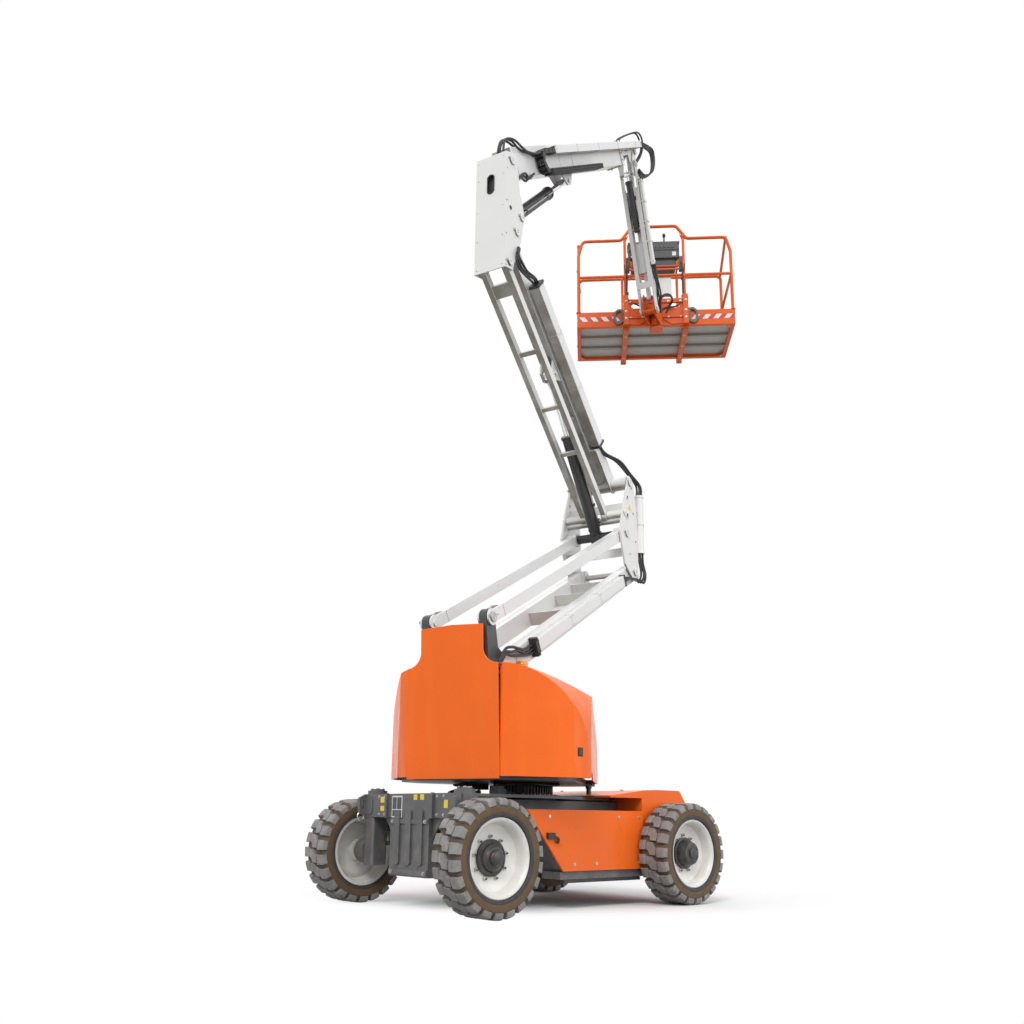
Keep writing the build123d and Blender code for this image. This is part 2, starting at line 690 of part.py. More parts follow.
save(lower_arm.part, "lower_arm")

# upright between the two stages: pins measured from the arm's top pin
UPRIGHT_LAT = 296.0
UPRIGHT_T = 18.0
UPRIGHT = ((-110, 910), (-10, 860), (40, 640), (75, 430), (80, -25), (45, -80), (-50, -75), (-225, 30),
           (-280, 170), (-330, 320), (-225, 640))
LIGHT_HOLES = ((-160, 680, 18), (-165, 500, 26))
STUB_R = 22.0
LADDER_LAT = 105.0
LADDER_W = 46.0
with BuildPart() as mid_upright:
    for side in (-1, 1):
        with BuildSketch(turret_side(side * UPRIGHT_LAT)):
            with BuildLine():
                Polyline([plus(ARM_TOP, point) for point in UPRIGHT], close=True)
            make_face()
            with Locations(ARM_TOP):
                Circle(78)
            for x, y, radius in LIGHT_HOLES:
                with Locations(plus(ARM_TOP, (x, y))):
                    Circle(radius, mode=Mode.SUBTRACT)
        extrude(amount=UPRIGHT_T / 2, both=True)
        # boss and stub pin of the ladder link
        with BuildSketch(turret_side(side * (LADDER_LAT + LADDER_W / 2 + 6))):
            with Locations(LINK2_FOOT):
                Circle(40)
        extrude(amount=-side * (UPRIGHT_LAT - LADDER_LAT - LADDER_W / 2 - 10))
        with BuildSketch(turret_side(side * (LADDER_LAT - LADDER_W / 2 - 4))):
            with Locations(LINK2_FOOT):
                Circle(STUB_R)
        extrude(amount=-side * (UPRIGHT_LAT - LADDER_LAT + LADDER_W / 2))
    # cross shafts: lower arm, lower links with the riser cylinder, upper arm
    for pin, radius in ((ARM_TOP, PIN_TOWER_R), (LINK_TOP, SHAFT_R), (ARM2_FOOT, SHAFT_R)):
        with BuildSketch(turret_side(0)):
            with Locations(pin):
                Circle(radius)
        extrude(amount=UPRIGHT_LAT + UPRIGHT_T / 2 + 6, both=True)
    # hose duct in front of the right plate
    with BuildSketch(turret(ARM_TOP[1] + 205)):
        with Locations((ARM_TOP[0] + 118, -UPRIGHT_LAT - 8)):
            Circle(42)
    extrude(amount=570)
save(mid_upright.part, "mid_upright")

LADDER_H = 70.0
LADDER_BARS = ((1670, 40, 24), (2200, 110, 40))
with BuildPart() as upper_link:
    for side in (-1, 1):
        lat = side * LADDER_LAT
        with BuildSketch(along(LINK2_FOOT, LINK2_TOP, lat)):
            with Locations((UPPER_LENGTH / 2, 0)):
                Rectangle(UPPER_LENGTH, LADDER_H)
            with Locations((0, 0), (UPPER_LENGTH, 0)):
                Circle(42)
            with Locations((0, 0), (UPPER_LENGTH, 0)):
                Circle(STUB_R + PIN_CLEAR, mode=Mode.SUBTRACT)
        extrude(amount=LADDER_W / 2, both=True)
    for at, length, depth in LADDER_BARS:
        with BuildSketch(across(LINK2_FOOT, LINK2_TOP, at)):
            Rectangle(depth, 2 * LADDER_LAT - LADDER_W + 2)
        extrude(amount=length)
save(upper_link.part, "upper_link")

ARM2_W = 140.0
ARM2_H = 150.0
FOOT_LAT = 130.0
FOOT_T = 12.0
CYL_AT = 1257.0
CYL_OFF = 125.0
EAR_LAT = 56.0
EYE_POCKET = (CYL_AT - 480.0, CYL_AT + 150.0)
EYE_POCKET_FLOOR = 0.0
EYE_POCKET_LAT = 46.0
DUCT2_LAT = ARM2_W / 2 + 24
DUCT2_W = 80.0
DUCT2_H = 120.0
with BuildPart() as upper_arm:
    with BuildSketch(along(ARM2_FOOT, ARM2_TOP, 0)):
        with Locations((UPPER_LENGTH / 2 + 20, 0)):
            Rectangle(UPPER_LENGTH - 120, ARM2_H)
        with Locations((UPPER_LENGTH, 0)):
            Circle(66)
    extrude(amount=ARM2_W / 2, both=True)
    # flared foot with its cross tube
    for side in (-1, 1):
        with BuildSketch(along(ARM2_FOOT, ARM2_TOP, side * FOOT_LAT)):
            with BuildLine():
                Polyline((0, -78), (0, 78), (420, 74), (470, 40), (470, -30), (300, -78), close=True)
            make_face()
            Circle(78)
        extrude(amount=FOOT_T / 2, both=True)
    for at, up, depth, length in ((90, 66, 12, 340), (430, 0, 90, 14)):
        with BuildSketch(across(ARM2_FOOT, ARM2_TOP, at)):
            with Locations((up, 0)):
                Rectangle(depth, 2 * FOOT_LAT - FOOT_T + 2)
        extrude(amount=length)
    with BuildSketch(along(ARM2_FOOT, ARM2_TOP, 0)):
        Circle(62)
    extrude(amount=UPRIGHT_LAT - UPRIGHT_T / 2 - 8, both=True)
    with BuildSketch(along(ARM2_FOOT, ARM2_TOP, 0)):
        Circle(SHAFT_R + PIN_CLEAR)
        with Locations((UPPER_LENGTH, 0)):
            Circle(PIN_TOWER_R + PIN_CLEAR)
    extrude(amount=400, both=True, mode=Mode.SUBTRACT)
    # pocket that the rod eye sinks into as the arms fold
    with BuildSketch(along(ARM2_FOOT, ARM2_TOP, 0)):
        with Locations(((EYE_POCKET[0] + EYE_POCKET[1]) / 2, EYE_POCKET_FLOOR + 50)):
            Rectangle(EYE_POCKET[1] - EYE_POCKET[0], 100)
    extrude(amount=EYE_POCKET_LAT, both=True, mode=Mode.SUBTRACT)
    # ears and stub pins for the rod of the riser cylinder
    for side in (-1, 1):
        with BuildSketch(along(ARM2_FOOT, ARM2_TOP, side * EAR_LAT)):
            with BuildLine():
                Polyline((CYL_AT - 110, ARM2_H / 2 - 12), (CYL_AT + 110, ARM2_H / 2 - 12),
                         (CYL_AT + 42, CYL_OFF + 40), (CYL_AT - 42, CYL_OFF + 40), close=True)
            make_face()
        extrude(amount=7, both=True)
        with BuildSketch(along(ARM2_FOOT, ARM2_TOP, side * (EAR_LAT - 12))):
            with Locations((CYL_AT, CYL_OFF)):
                Circle(18)
        extrude(amount=-side * 30)
    # hose duct along the right side
    with BuildSketch(along(ARM2_FOOT, ARM2_TOP, -DUCT2_LAT)):
        with Locations(((440 + 2010) / 2, -5)):
            Rectangle(2010 - 440, DUCT2_H)
    extrude(amount=DUCT2_W)
    for at in (620, 1250, 1900):
        with BuildSketch(across(ARM2_FOOT, ARM2_TOP, at)):
            with Locations((20, (ARM2_W / 2 + DUCT2_LAT) / 2)):
                Rectangle(40, DUCT2_LAT - ARM2_W / 2 + 2)
        extrude(amount=40)
save(upper_arm.part, "upper_arm")

# riser cylinder from the link-top shaft to the ears on the upper arm
ARM2_DIR = polar(UPPER_ANGLE, 1.0)
ARM2_DOWN = polar(UPPER_ANGLE + 90.0, 1.0)
RISER_EYE = (ARM2_FOOT[0] + CYL_AT * ARM2_DIR[0] + CYL_OFF * ARM2_DOWN[0],
             ARM2_FOOT[1] + CYL_AT * ARM2_DIR[1] + CYL_OFF * ARM2_DOWN[1])


def cylinder_barrel(foot, eye, foot_pin_r, barrel_r, bore_r, length, eye_r, eye_w):
    """A closed barrel with its foot eye round a pin and its bore open for the rod."""
    with BuildPart() as barrel:
        with BuildSketch(along(foot, eye)):
            Circle(eye_r)
        extrude(amount=eye_w / 2, both=True)
        with BuildSketch(across(foot, eye, eye_r - 15)):
            Circle(barrel_r)
        extrude(amount=length - eye_r + 15)
        with BuildSketch(across(foot, eye, eye_r + 20)):
            Circle(bore_r + PIN_CLEAR)
        extrude(amount=length, mode=Mode.SUBTRACT)
        with BuildSketch(along(foot, eye)):
            Circle(foot_pin_r + PIN_CLEAR)
        extrude(amount=eye_w, both=True, mode=Mode.SUBTRACT)
    return barrel.part


def cylinder_rod(foot, eye, rod_r, length, eye_r, eye_w):
    """A rod with its closed eye at the far end."""
    total = hypot(eye[0] - foot[0], eye[1] - foot[1])
    with BuildPart() as rod:
        with BuildSketch(across(foot, eye, total - length)):
            Circle(rod_r)
        extrude(amount=length - eye_r + 5)
        with BuildSketch(along(foot, eye)):
            with Locations((total, 0)):
                Circle(eye_r)
        extrude(amount=eye_w / 2, both=True)
    return rod.part


save(cylinder_barrel(LINK_TOP, RISER_EYE, SHAFT_R, 52, 28, 995, 54, 96), "riser_barrel")
save(cylinder_rod(LINK_TOP, RISER_EYE, 28, 1090, 40, 70), "riser_rod")

# top upright: box with a closed tail, pins on both sides
BOX_LAT = 141.0
BOX_T = 8.0
BOX_TAIL = -191.0
BOX_LOW = -413.0
BOX_HIGH = 639.0
BOX_SLOT_UP = 374.0
# outline measured from the upper arm's top pin
BOX_SIDE = ((BOX_TAIL, BOX_LOW), (-63, -379), (-18, -251), (56, -91), (101, 107), (122, 219), (82, 324),
            (39, 395), (21, 513), (-16, 649), (-39, 714), (BOX_TAIL, BOX_HIGH))
with BuildPart() as top_upright:
    for side in (-1, 1):
        with BuildSketch(turret_side(side * (BOX_LAT - BOX_T / 2))):
            with BuildLine():
                Polyline([plus(ARM2_TOP, point) for point in BOX_SIDE], close=True)
            make_face()
        extrude(amount=BOX_T / 2, both=True)
    with BuildSketch(turret_back(ARM2_TOP[0] + BOX_TAIL)):
        with Locations((0, ARM2_TOP[1] + (BOX_LOW + BOX_HIGH) / 2)):
            Rectangle(2 * BOX_LAT, BOX_HIGH - BOX_LOW)
        with Locations((0, ARM2_TOP[1] + BOX_SLOT_UP)):
            SlotOverall(170, 62, rotation=90, mode=Mode.SUBTRACT)
    extrude(amount=BOX_T)
    for pin, radius in ((BOOM_FOOT, 25), (BOOM_CYL_FOOT, 25), (ARM2_TOP, PIN_TOWER_R)):
        with BuildSketch(turret_side(0)):
            with Locations(pin):
                Circle(radius)
        extrude(amount=BOX_LAT + 6, both=True)
    for side in (-1, 1):
        with BuildSketch(turret_side(side * (LADDER_LAT - LADDER_W / 2 - 4))):
            with Locations(LINK2_TOP):
                Circle(STUB_R)
        extrude(amount=-side * (BOX_LAT + 10 - LADDER_LAT + LADDER_W / 2))
save(top_upright.part, "top_upright")

# ================================================================ boom
CHAIN_W = 80.0
CHAIN_LAT = OUTER_W / 2 + 7
CHAIN_R = 108.0
CHAIN_LINK_H = 45.0
CHAIN_AT = (715.0, -31.0)
TRAY = (740.0, 2060.0)
GUIDE = (930.0, BOOM_LENGTH + 9)
GUIDE_UP = (26.0, 92.0)
BOOM_EYE_AT = 1339.0
BOOM_EYE_OFF = 198.0

with BuildPart() as boom_outer:
    with BuildSketch(along(BOOM_FOOT, BOOM_TIP)):
        Circle(70)
        with Locations((100, 0)):
            Rectangle(200, 130)
    extrude(amount=OUTER_W / 2, both=True)
    with BuildSketch(across(BOOM_FOOT, BOOM_TIP, 150)):
        Rectangle(OUTER_H, OUTER_W)
    extrude(amount=OUTER_LENGTH - 150)
    with BuildSketch(across(BOOM_FOOT, BOOM_TIP, 230)):
        Rectangle(OUTER_H - 2 * WALL, OUTER_W - 2 * WALL)
    extrude(amount=OUTER_LENGTH, mode=Mode.SUBTRACT)
    with BuildSketch(along(BOOM_FOOT, BOOM_TIP)):
        Circle(25 + PIN_CLEAR)
    extrude(amount=200, both=True, mode=Mode.SUBTRACT)
    # wear pads at the mouth
    with BuildSketch(across(BOOM_FOOT, BOOM_TIP, OUTER_LENGTH - 110)):
        Rectangle(OUTER_H - WALL, OUTER_W - WALL)
        Rectangle(INNER_H + 2 * PAD_GAP, INNER_W + 2 * PAD_GAP, mode=Mode.SUBTRACT)
    extrude(amount=100)
    # ears and stub pins of the lift cylinder
    for side in (-1, 1):
        with BuildSketch(along(BOOM_FOOT, BOOM_TIP, side * EAR_LAT)):
            with BuildLine():
                Polyline((BOOM_EYE_AT - 150, -OUTER_H / 2 + 5), (BOOM_EYE_AT + 150, -OUTER_H / 2 + 5),
                         (BOOM_EYE_AT + 42, -BOOM_EYE_OFF - 38), (BOOM_EYE_AT - 42, -BOOM_EYE_OFF - 38),
                         close=True)
            make_face()
        extrude(amount=7, both=True)
        with BuildSketch(along(BOOM_FOOT, BOOM_TIP, side * (EAR_LAT - 12))):
            with Locations((BOOM_EYE_AT, -BOOM_EYE_OFF)):
                Circle(18)
        extrude(amount=-side * 30)
save(boom_outer.part, "boom_outer")

# perforated tray under the chain, hung on the tube's right side
TRAY_WALL = 5.0
with BuildPart() as boom_tray:
    with BuildSketch(across(BOOM_FOOT, BOOM_TIP, TRAY[0])):
        with Locations((-CHAIN_R - 31 - 2.5, OUTER_W / 2 + 47)):
            Rectangle(TRAY_WALL, 92)
        with Locations((-CHAIN_R - 31 + 16, OUTER_W / 2 + 93)):
            Rectangle(42, TRAY_WALL)
        with Locations((-CHAIN_R - 31 + 16, OUTER_W / 2 + 2.7)):
            Rectangle(42, TRAY_WALL)
    extrude(amount=TRAY[1] - TRAY[0])
save(boom_tray.part, "boom_tray")

with BuildPart() as energy_chain:
    with BuildSketch(along(BOOM_FOOT, BOOM_TIP, -CHAIN_LAT)):
        with Locations(CHAIN_AT):
            Circle(CHAIN_R)
            Circle(CHAIN_R - CHAIN_LINK_H, mode=Mode.SUBTRACT)
            with Locations((CHAIN_R, 0)):
                Rectangle(2 * CHAIN_R, 3 * CHAIN_R, mode=Mode.SUBTRACT)
        with Locations((CHAIN_AT[0] + 105, CHAIN_AT[1] + CHAIN_R - CHAIN_LINK_H / 2)):
            Rectangle(212, CHAIN_LINK_H)
        with Locations(((CHAIN_AT[0] + TRAY[1] - 60) / 2, CHAIN_AT[1] - CHAIN_R + CHAIN_LINK_H / 2 + 0.3)):
            Rectangle(TRAY[1] - 60 - CHAIN_AT[0] + 2, CHAIN_LINK_H - 0.6)
    extrude(amount=CHAIN_W)
save(energy_chain.part, "energy_chain")

TIP_CUT = 230.0
FORK_LAT = 55.0
FORK_TIP_T = 20.0
TIP_NOTCH = (-385.0, -205.0)
TIP_NOTCH_H = 75.0
with BuildPart() as boom_inner:
    with BuildSketch(across(BOOM_FOOT, BOOM_TIP, 620)):
        Rectangle(INNER_H, INNER_W)
        Rectangle(INNER_H - 2 * WALL, INNER_W - 2 * WALL, mode=Mode.SUBTRACT)
    extrude(amount=BOOM_LENGTH - 620 - TIP_CUT)
    for side in (-1, 1):
        with BuildSketch(along(BOOM_FOOT, BOOM_TIP, side * FORK_LAT)):
            with BuildLine():
                Polyline((BOOM_LENGTH - 330, -INNER_H / 2), (BOOM_LENGTH - 150, -INNER_H / 2),
                         (BOOM_LENGTH - 20, -50), (BOOM_LENGTH + 38, -30), (BOOM_LENGTH + 42, 40),
                         (BOOM_LENGTH - 60, INNER_H / 2), (BOOM_LENGTH - 330, INNER_H / 2),
                         close=True)
            make_face()
        extrude(amount=FORK_TIP_T / 2, both=True)
    with BuildSketch(along(BOOM_FOOT, BOOM_TIP)):
        with Locations((BOOM_LENGTH, 0)):
            Circle(PIN_R + PIN_CLEAR)
    extrude(amount=200, both=True, mode=Mode.SUBTRACT)
    # notch under the tip for the jib's cylinder when the boom is steep
    with BuildSketch(along(BOOM_FOOT, BOOM_TIP)):
        with Locations((BOOM_LENGTH + (TIP_NOTCH[0] + TIP_NOTCH[1]) / 2, -INNER_H / 2)):
            Rectangle(TIP_NOTCH[1] - TIP_NOTCH[0], 2 * TIP_NOTCH_H)
    extrude(amount=INNER_W, both=True, mode=Mode.SUBTRACT)
    # hose guide beside the tube, bolted to the tip by one arm
    with BuildSketch(across(BOOM_FOOT, BOOM_TIP, GUIDE[0])):
        with Locations(((GUIDE_UP[0] + GUIDE_UP[1]) / 2, CHAIN_LAT + CHAIN_W / 2)):
            Rectangle(GUIDE_UP[1] - GUIDE_UP[0], CHAIN_W)
            Rectangle(GUIDE_UP[1] - GUIDE_UP[0] - 8, CHAIN_W - 8, mode=Mode.SUBTRACT)
    extrude(amount=GUIDE[1] - GUIDE[0])
    with BuildSketch(across(BOOM_FOOT, BOOM_TIP, BOOM_LENGTH - 330)):
        with Locations((60, (INNER_W / 2 + CHAIN_LAT) / 2)):
            Rectangle(30, CHAIN_LAT - INNER_W / 2 + 2)
    extrude(amount=120)
save(boom_inner.part, "boom_inner")

BOOM_CYL_EYE = plus(BOOM_FOOT, plus(polar(BOOM_ANGLE, BOOM_EYE_AT),
                                    polar(BOOM_ANGLE - 90, BOOM_EYE_OFF)))
save(cylinder_barrel(BOOM_CYL_FOOT, BOOM_CYL_EYE, 25, 52, 26, 1040, 48, 96), "boom_barrel")
save(cylinder_rod(BOOM_CYL_FOOT, BOOM_CYL_EYE, 26, 1140, 30, 70), "boom_rod")

# ================================================================ jib
KNUCKLE_LAT = 74.0
KNUCKLE_T = 8.0
JIB_LAT = 89.0
JIB_T = 12.0
JIB_H = 84.0
JIB_EYE_REACH = 120.0
JIB_EYE_ANGLE = -100.0
JIB_EYE = plus(JIB_FOOT, polar(JIB_EYE_ANGLE, JIB_EYE_REACH))
JIB_CYL_AT = 700.0
JIB_CYL_FOOT = plus(JIB_FOOT, polar(JIB_ANGLE, JIB_CYL_AT))
JIB_REACH = JIB_LAT + JIB_T / 2 + 4

with BuildPart() as jib_knuckle:
    for side in (-1, 1):
        with BuildSketch(turret_side(side * KNUCKLE_LAT)):
            with BuildLine():
                Polyline(plus(BOOM_TIP, (-42, 30)), plus(BOOM_TIP, (20, 46)),
                         plus(JIB_FOOT, (52, 60)), plus(JIB_FOOT, (48, -40)),
                         plus(JIB_EYE, (34, -26)), plus(JIB_EYE, (-34, -20)),
                         plus(JIB_FOOT, (-58, 10)), close=True)
            make_face()
        extrude(amount=KNUCKLE_T / 2, both=True)
        with BuildSketch(turret_side(side * (JIB_EYE_REACH / 3))):
            with Locations(JIB_EYE):
                Circle(16)
        extrude(amount=-side * (KNUCKLE_LAT - JIB_EYE_REACH / 3))
        with BuildSketch(turret_side(side * (KNUCKLE_LAT - KNUCKLE_T / 2))):
            with Locations(JIB_FOOT):
                Circle(PIN_R)
        extrude(amount=-side * (JIB_REACH - KNUCKLE_LAT + KNUCKLE_T / 2))
    with BuildSketch(turret_side(0)):
        with Locations(BOOM_TIP):
            Circle(PIN_R)
    extrude(amount=KNUCKLE_LAT + 12, both=True)
save(jib_knuckle.part, "jib_knuckle")

RAIL_LIP = 42.0
with BuildPart() as jib_arm:
    for side in (-1, 1):
        with BuildSketch(along(JIB_FOOT, JIB_TIP, side * JIB_LAT)):
            with Locations((JIB_LENGTH / 2, 0)):
                Rectangle(JIB_LENGTH, JIB_H)
            with Locations((0, 0), (JIB_LENGTH, 0)):
                Circle(JIB_H / 2 + 2)
        extrude(amount=JIB_T / 2, both=True)
        # lips that turn each rail into a channel below the knuckle
        with BuildSketch(across(JIB_FOOT, JIB_TIP, 260)):
            for face in (-1, 1):
                with Locations((face * (JIB_H / 2 - 4), side * (JIB_LAT + JIB_T / 2 - RAIL_LIP / 2))):
                    Rectangle(8, RAIL_LIP)
        extrude(amount=JIB_LENGTH - 530)
    for at, length, up, depth in ((1290, 70, -JIB_H / 2 + 4, 8), (850, 330, 12, 8)):
        with BuildSketch(across(JIB_FOOT, JIB_TIP, at)):
            with Locations((up, 0)):
                Rectangle(depth, 2 * JIB_LAT - JIB_T + 2)
        extrude(amount=length)
    # cross shaft of the cylinder's foot
    with BuildSketch(along(JIB_FOOT, JIB_TIP, 0)):
        with Locations((JIB_CYL_AT, 0)):
            Circle(18)
    extrude(amount=JIB_LAT, both=True)
    with BuildSketch(along(JIB_FOOT, JIB_TIP, 0)):
        with Locations((0, 0), (JIB_LENGTH, 0)):
            Circle(PIN_R + PIN_CLEAR)
    extrude(amount=200, both=True, mode=Mode.SUBTRACT)
    # hose tube along the right rail
    with BuildSketch(across(JIB_FOOT, JIB_TIP, 180)):
        with Locations((10, JIB_LAT + JIB_T / 2 + 26)):
            RectangleRounded(56, 40, 12)
    extrude(amount=940)
    for at in (220, 1040):
        with BuildSketch(across(JIB_FOOT, JIB_TIP, at)):
            with Locations((10, JIB_LAT + JIB_T / 2 + 3)):
                Rectangle(30, 8)
        extrude(amount=30)
save(jib_arm.part, "jib_arm")

with BuildPart() as jib_link:
    with BuildSketch(along(BOOM_TIP, JIB_LINK_TIP)):
        with Locations((JIB_LENGTH / 2, 0)):
            Rectangle(JIB_LENGTH, 46)
        with Locations((0, 0), (JIB_LENGTH, 0)):
            Circle(34)
        with Locations((0, 0), (JIB_LENGTH, 0)):
            Circle(PIN_R + PIN_CLEAR, mode=Mode.SUBTRACT)
    extrude(amount=22, both=True)
save(jib_link.part, "jib_link")

save(cylinder_barrel(JIB_CYL_FOOT, JIB_EYE, 18, 34, 16, 520, 32, 60), "jib_barrel")
save(cylinder_rod(JIB_CYL_FOOT, JIB_EYE, 16, 500, 26, 60), "jib_rod")

# ================================================================ platform
BRACKET_LAT = 62.0
ROTATOR_PIN_R = 20.0
with BuildPart() as platform_bracket:
    for side in (-1, 1):
        with BuildSketch(turret_side(side * BRACKET_LAT)):
            with BuildLine():
                Polyline(plus(JIB_TIP, (-42, -30)), plus(JIB_TIP, (-40, 40)),
                         plus(JIB_LINK_TIP, (-38, 40)), plus(JIB_LINK_TIP, (50, 40)),
                         plus(ROTATOR, (-92, 150)), plus(ROTATOR, (-84, 84)),
                         plus(ROTATOR, (-5, 84)), plus(ROTATOR, (-5, -104)),
                         plus(JIB_TIP, (30, -60)), close=True)
            make_face()
        extrude(amount=5, both=True)
    for pin, reach in ((JIB_TIP, JIB_REACH), (JIB_LINK_TIP, BRACKET_LAT)):
        with BuildSketch(turret_side(0)):
            with Locations(pin):
                Circle(PIN_R)
        extrude(amount=reach, both=True)
    with BuildSketch(Plane(origin=turret_point(ROTATOR[0], 0, ROTATOR[1] - 105), x_dir=FORWARD,
                           z_dir=UP)):
        Circle(66)
        Circle(ROTATOR_PIN_R + PIN_CLEAR, mode=Mode.SUBTRACT)
    extrude(amount=190)
save(platform_bracket.part, "platform_bracket")

ANGLE_P = SLEW_ANGLE + PLATFORM_TURN
P_FORWARD = Vector(cos(radians(ANGLE_P)), sin(radians(ANGLE_P)), 0)
P_LEFT = Vector(-sin(radians(ANGLE_P)), cos(radians(ANGLE_P)), 0)
P_FLOOR = ROTATOR[1] + FLOOR_H


def platform(z=0.0):
    """Horizontal plane of the platform: origin on the rotator, x forward, z from its floor."""
    return Plane(origin=turret_point(ROTATOR[0], 0, P_FLOOR + z), x_dir=P_FORWARD, z_dir=UP)


def platform_front(d):
    """Upright plane across the platform at the distance d: x left, y up."""
    return Plane(origin=turret_point(ROTATOR[0], 0, P_FLOOR) + P_FORWARD * d, x_dir=P_LEFT,
                 z_dir=P_FORWARD)


def platform_point(d, lat, z):
    return turret_point(ROTATOR[0], 0, P_FLOOR + z) + P_FORWARD * d + P_LEFT * lat


P_NEAR = PLATFORM_EDGE
P_FAR = PLATFORM_EDGE + PLATFORM_D
P_MID = (P_NEAR + P_FAR) / 2
P_HALF = PLATFORM_W / 2
POST_LAT = 345.0
TOE_H = 140.0
KERB_T = 5.0
with BuildPart() as platform_floor:
    # rectangular frame, deck and two cross stiffeners
    with BuildSketch(platform(-50)):
        with Locations((P_MID, 0)):
            Rectangle(PLATFORM_D, PLATFORM_W)
            Rectangle(PLATFORM_D - 90, PLATFORM_W - 90, mode=Mode.SUBTRACT)
    extrude(amount=50)
    with BuildSketch(platform(-8)):
        with Locations((P_MID, 0)):
            Rectangle(PLATFORM_D - 80, PLATFORM_W - 80)
    extrude(amount=8)
    for x in (P_NEAR + 0.36 * PLATFORM_D, P_NEAR + 0.66 * PLATFORM_D):
        with BuildSketch(platform(-40)):
            with Locations((x, 0)):
                Rectangle(46, PLATFORM_W - 80)
        extrude(amount=34)
    # beams that carry the floor on past its far edge
    for lat in (-POST_LAT, POST_LAT):
        with BuildSketch(platform(-92)):
            with Locations((P_MID + 20, lat)):
                Rectangle(PLATFORM_D + 40, 60)
        extrude(amount=44)
    # toe boards
    with BuildSketch(platform(-1)):
        with Locations((P_MID, 0)):
            Rectangle(PLATFORM_D, PLATFORM_W)
            Rectangle(PLATFORM_D - 2 * KERB_T, PLATFORM_W - 2 * KERB_T, mode=Mode.SUBTRACT)
    extrude(amount=TOE_H + 1)
save(platform_floor.part, "platform_floor")


TUBE_R = TUBE / 2
POST_FOOT = TOE_H + RUN
SIDE_IN = P_HALF - TUBE_R - 2
NEAR_IN = P_NEAR + TUBE_R + 2
FAR_IN = P_FAR - TUBE_R - 2
GATE_LAT = SIDE_IN
GATE_STILE_R = TUBE_R - 3
GATE_FAR = FAR_IN - 60
GATE_NEAR = NEAR_IN + 60
HUMP = ((0.0, RAIL_H + RAIL_RISE), (265.0, RAIL_H + RAIL_RISE), (385.0, RAIL_H))
RAILS = (
    # near top rail with its raised middle, down to the corner posts and the toe board
    [(NEAR_IN, -SIDE_IN, POST_FOOT), (NEAR_IN, -SIDE_IN, 900), (NEAR_IN, -SIDE_IN + 50, RAIL_H),
     (NEAR_IN, -385, RAIL_H), (NEAR_IN, -265, RAIL_H + RAIL_RISE), (NEAR_IN, 265, RAIL_H + RAIL_RISE),
     (NEAR_IN, 385, RAIL_H), (NEAR_IN, SIDE_IN - 50, RAIL_H), (NEAR_IN, SIDE_IN, 900),
     (NEAR_IN, SIDE_IN, POST_FOOT)],
    # far frame
    [(FAR_IN, -SIDE_IN, POST_FOOT), (FAR_IN, -SIDE_IN, RAIL_H - 20), (FAR_IN, SIDE_IN, RAIL_H - 20),
     (FAR_IN, SIDE_IN, POST_FOOT)],
)
BARS = (
    (NEAR_IN, -SIDE_IN, MID_RAIL_H, NEAR_IN, SIDE_IN, MID_RAIL_H),
    (FAR_IN, -SIDE_IN, MID_RAIL_H - 20, FAR_IN, SIDE_IN, MID_RAIL_H - 20),
    (NEAR_IN, -SIDE_IN, MID_RAIL_H, FAR_IN, -SIDE_IN, MID_RAIL_H - 20),
    (NEAR_IN, -SIDE_IN + 50, RAIL_H, FAR_IN, -SIDE_IN + 3, RAIL_H - 20),
    (NEAR_IN, -POST_LAT, POST_FOOT, NEAR_IN, -POST_LAT, RAIL_H + 40),
    (NEAR_IN, POST_LAT, POST_FOOT, NEAR_IN, POST_LAT, RAIL_H + 40),
    (FAR_IN, -POST_LAT, POST_FOOT, FAR_IN, -POST_LAT, RAIL_H - 20),
    (FAR_IN, POST_LAT, POST_FOOT, FAR_IN, POST_LAT, RAIL_H - 20),
)
with BuildPart() as platform_rails:
    for points in RAILS:
        path_points = [platform_point(*point) for point in points]
        with BuildLine() as path:
            FilletPolyline(*path_points, radius=60)
        start = path.line @ 0
        with BuildSketch(Plane(origin=start, z_dir=path.line % 0)):
            Circle(TUBE_R)
        sweep(path=path.line)
    for x0, y0, z0, x1, y1, z1 in BARS:
        a = platform_point(x0, y0, z0)
        b = platform_point(x1, y1, z1)
        with BuildSketch(Plane(origin=a, z_dir=b - a)):
            Circle(TUBE_R - 2)
        extrude(amount=(b - a).length)
    # collars that carry the gate's stile
    for height in (300, 860):
        with BuildSketch(platform(height)):
            with Locations(((GATE_FAR + FAR_IN) / 2, GATE_LAT)):
                Rectangle(FAR_IN - GATE_FAR, 24)
            with Locations((GATE_FAR, GATE_LAT)):
                Circle(GATE_STILE_R + 9)
                Circle(GATE_STILE_R + PIN_CLEAR, mode=Mode.SUBTRACT)
        extrude(amount=50)
save(platform_rails.part, "platform_rails")

# gate in the left end: two bars between two stiles, hung on the far stile
with BuildPart() as platform_gate:
    for x in (GATE_NEAR, GATE_FAR):
        a = platform_point(x, GATE_LAT, TOE_H + 30)
        with BuildSketch(Plane(origin=a, z_dir=UP)):
            Circle(GATE_STILE_R)
        extrude(amount=RAIL_H - TOE_H - 50)
    for z in (TOE_H + 60, MID_RAIL_H, RAIL_H - 24):
        a = platform_point(GATE_NEAR, GATE_LAT, z)
        with BuildSketch(Plane(origin=a, z_dir=P_FORWARD)):
            Circle(TUBE_R - 4)
        extrude(amount=GATE_FAR - GATE_NEAR)
save(platform_gate.part, "platform_gate")

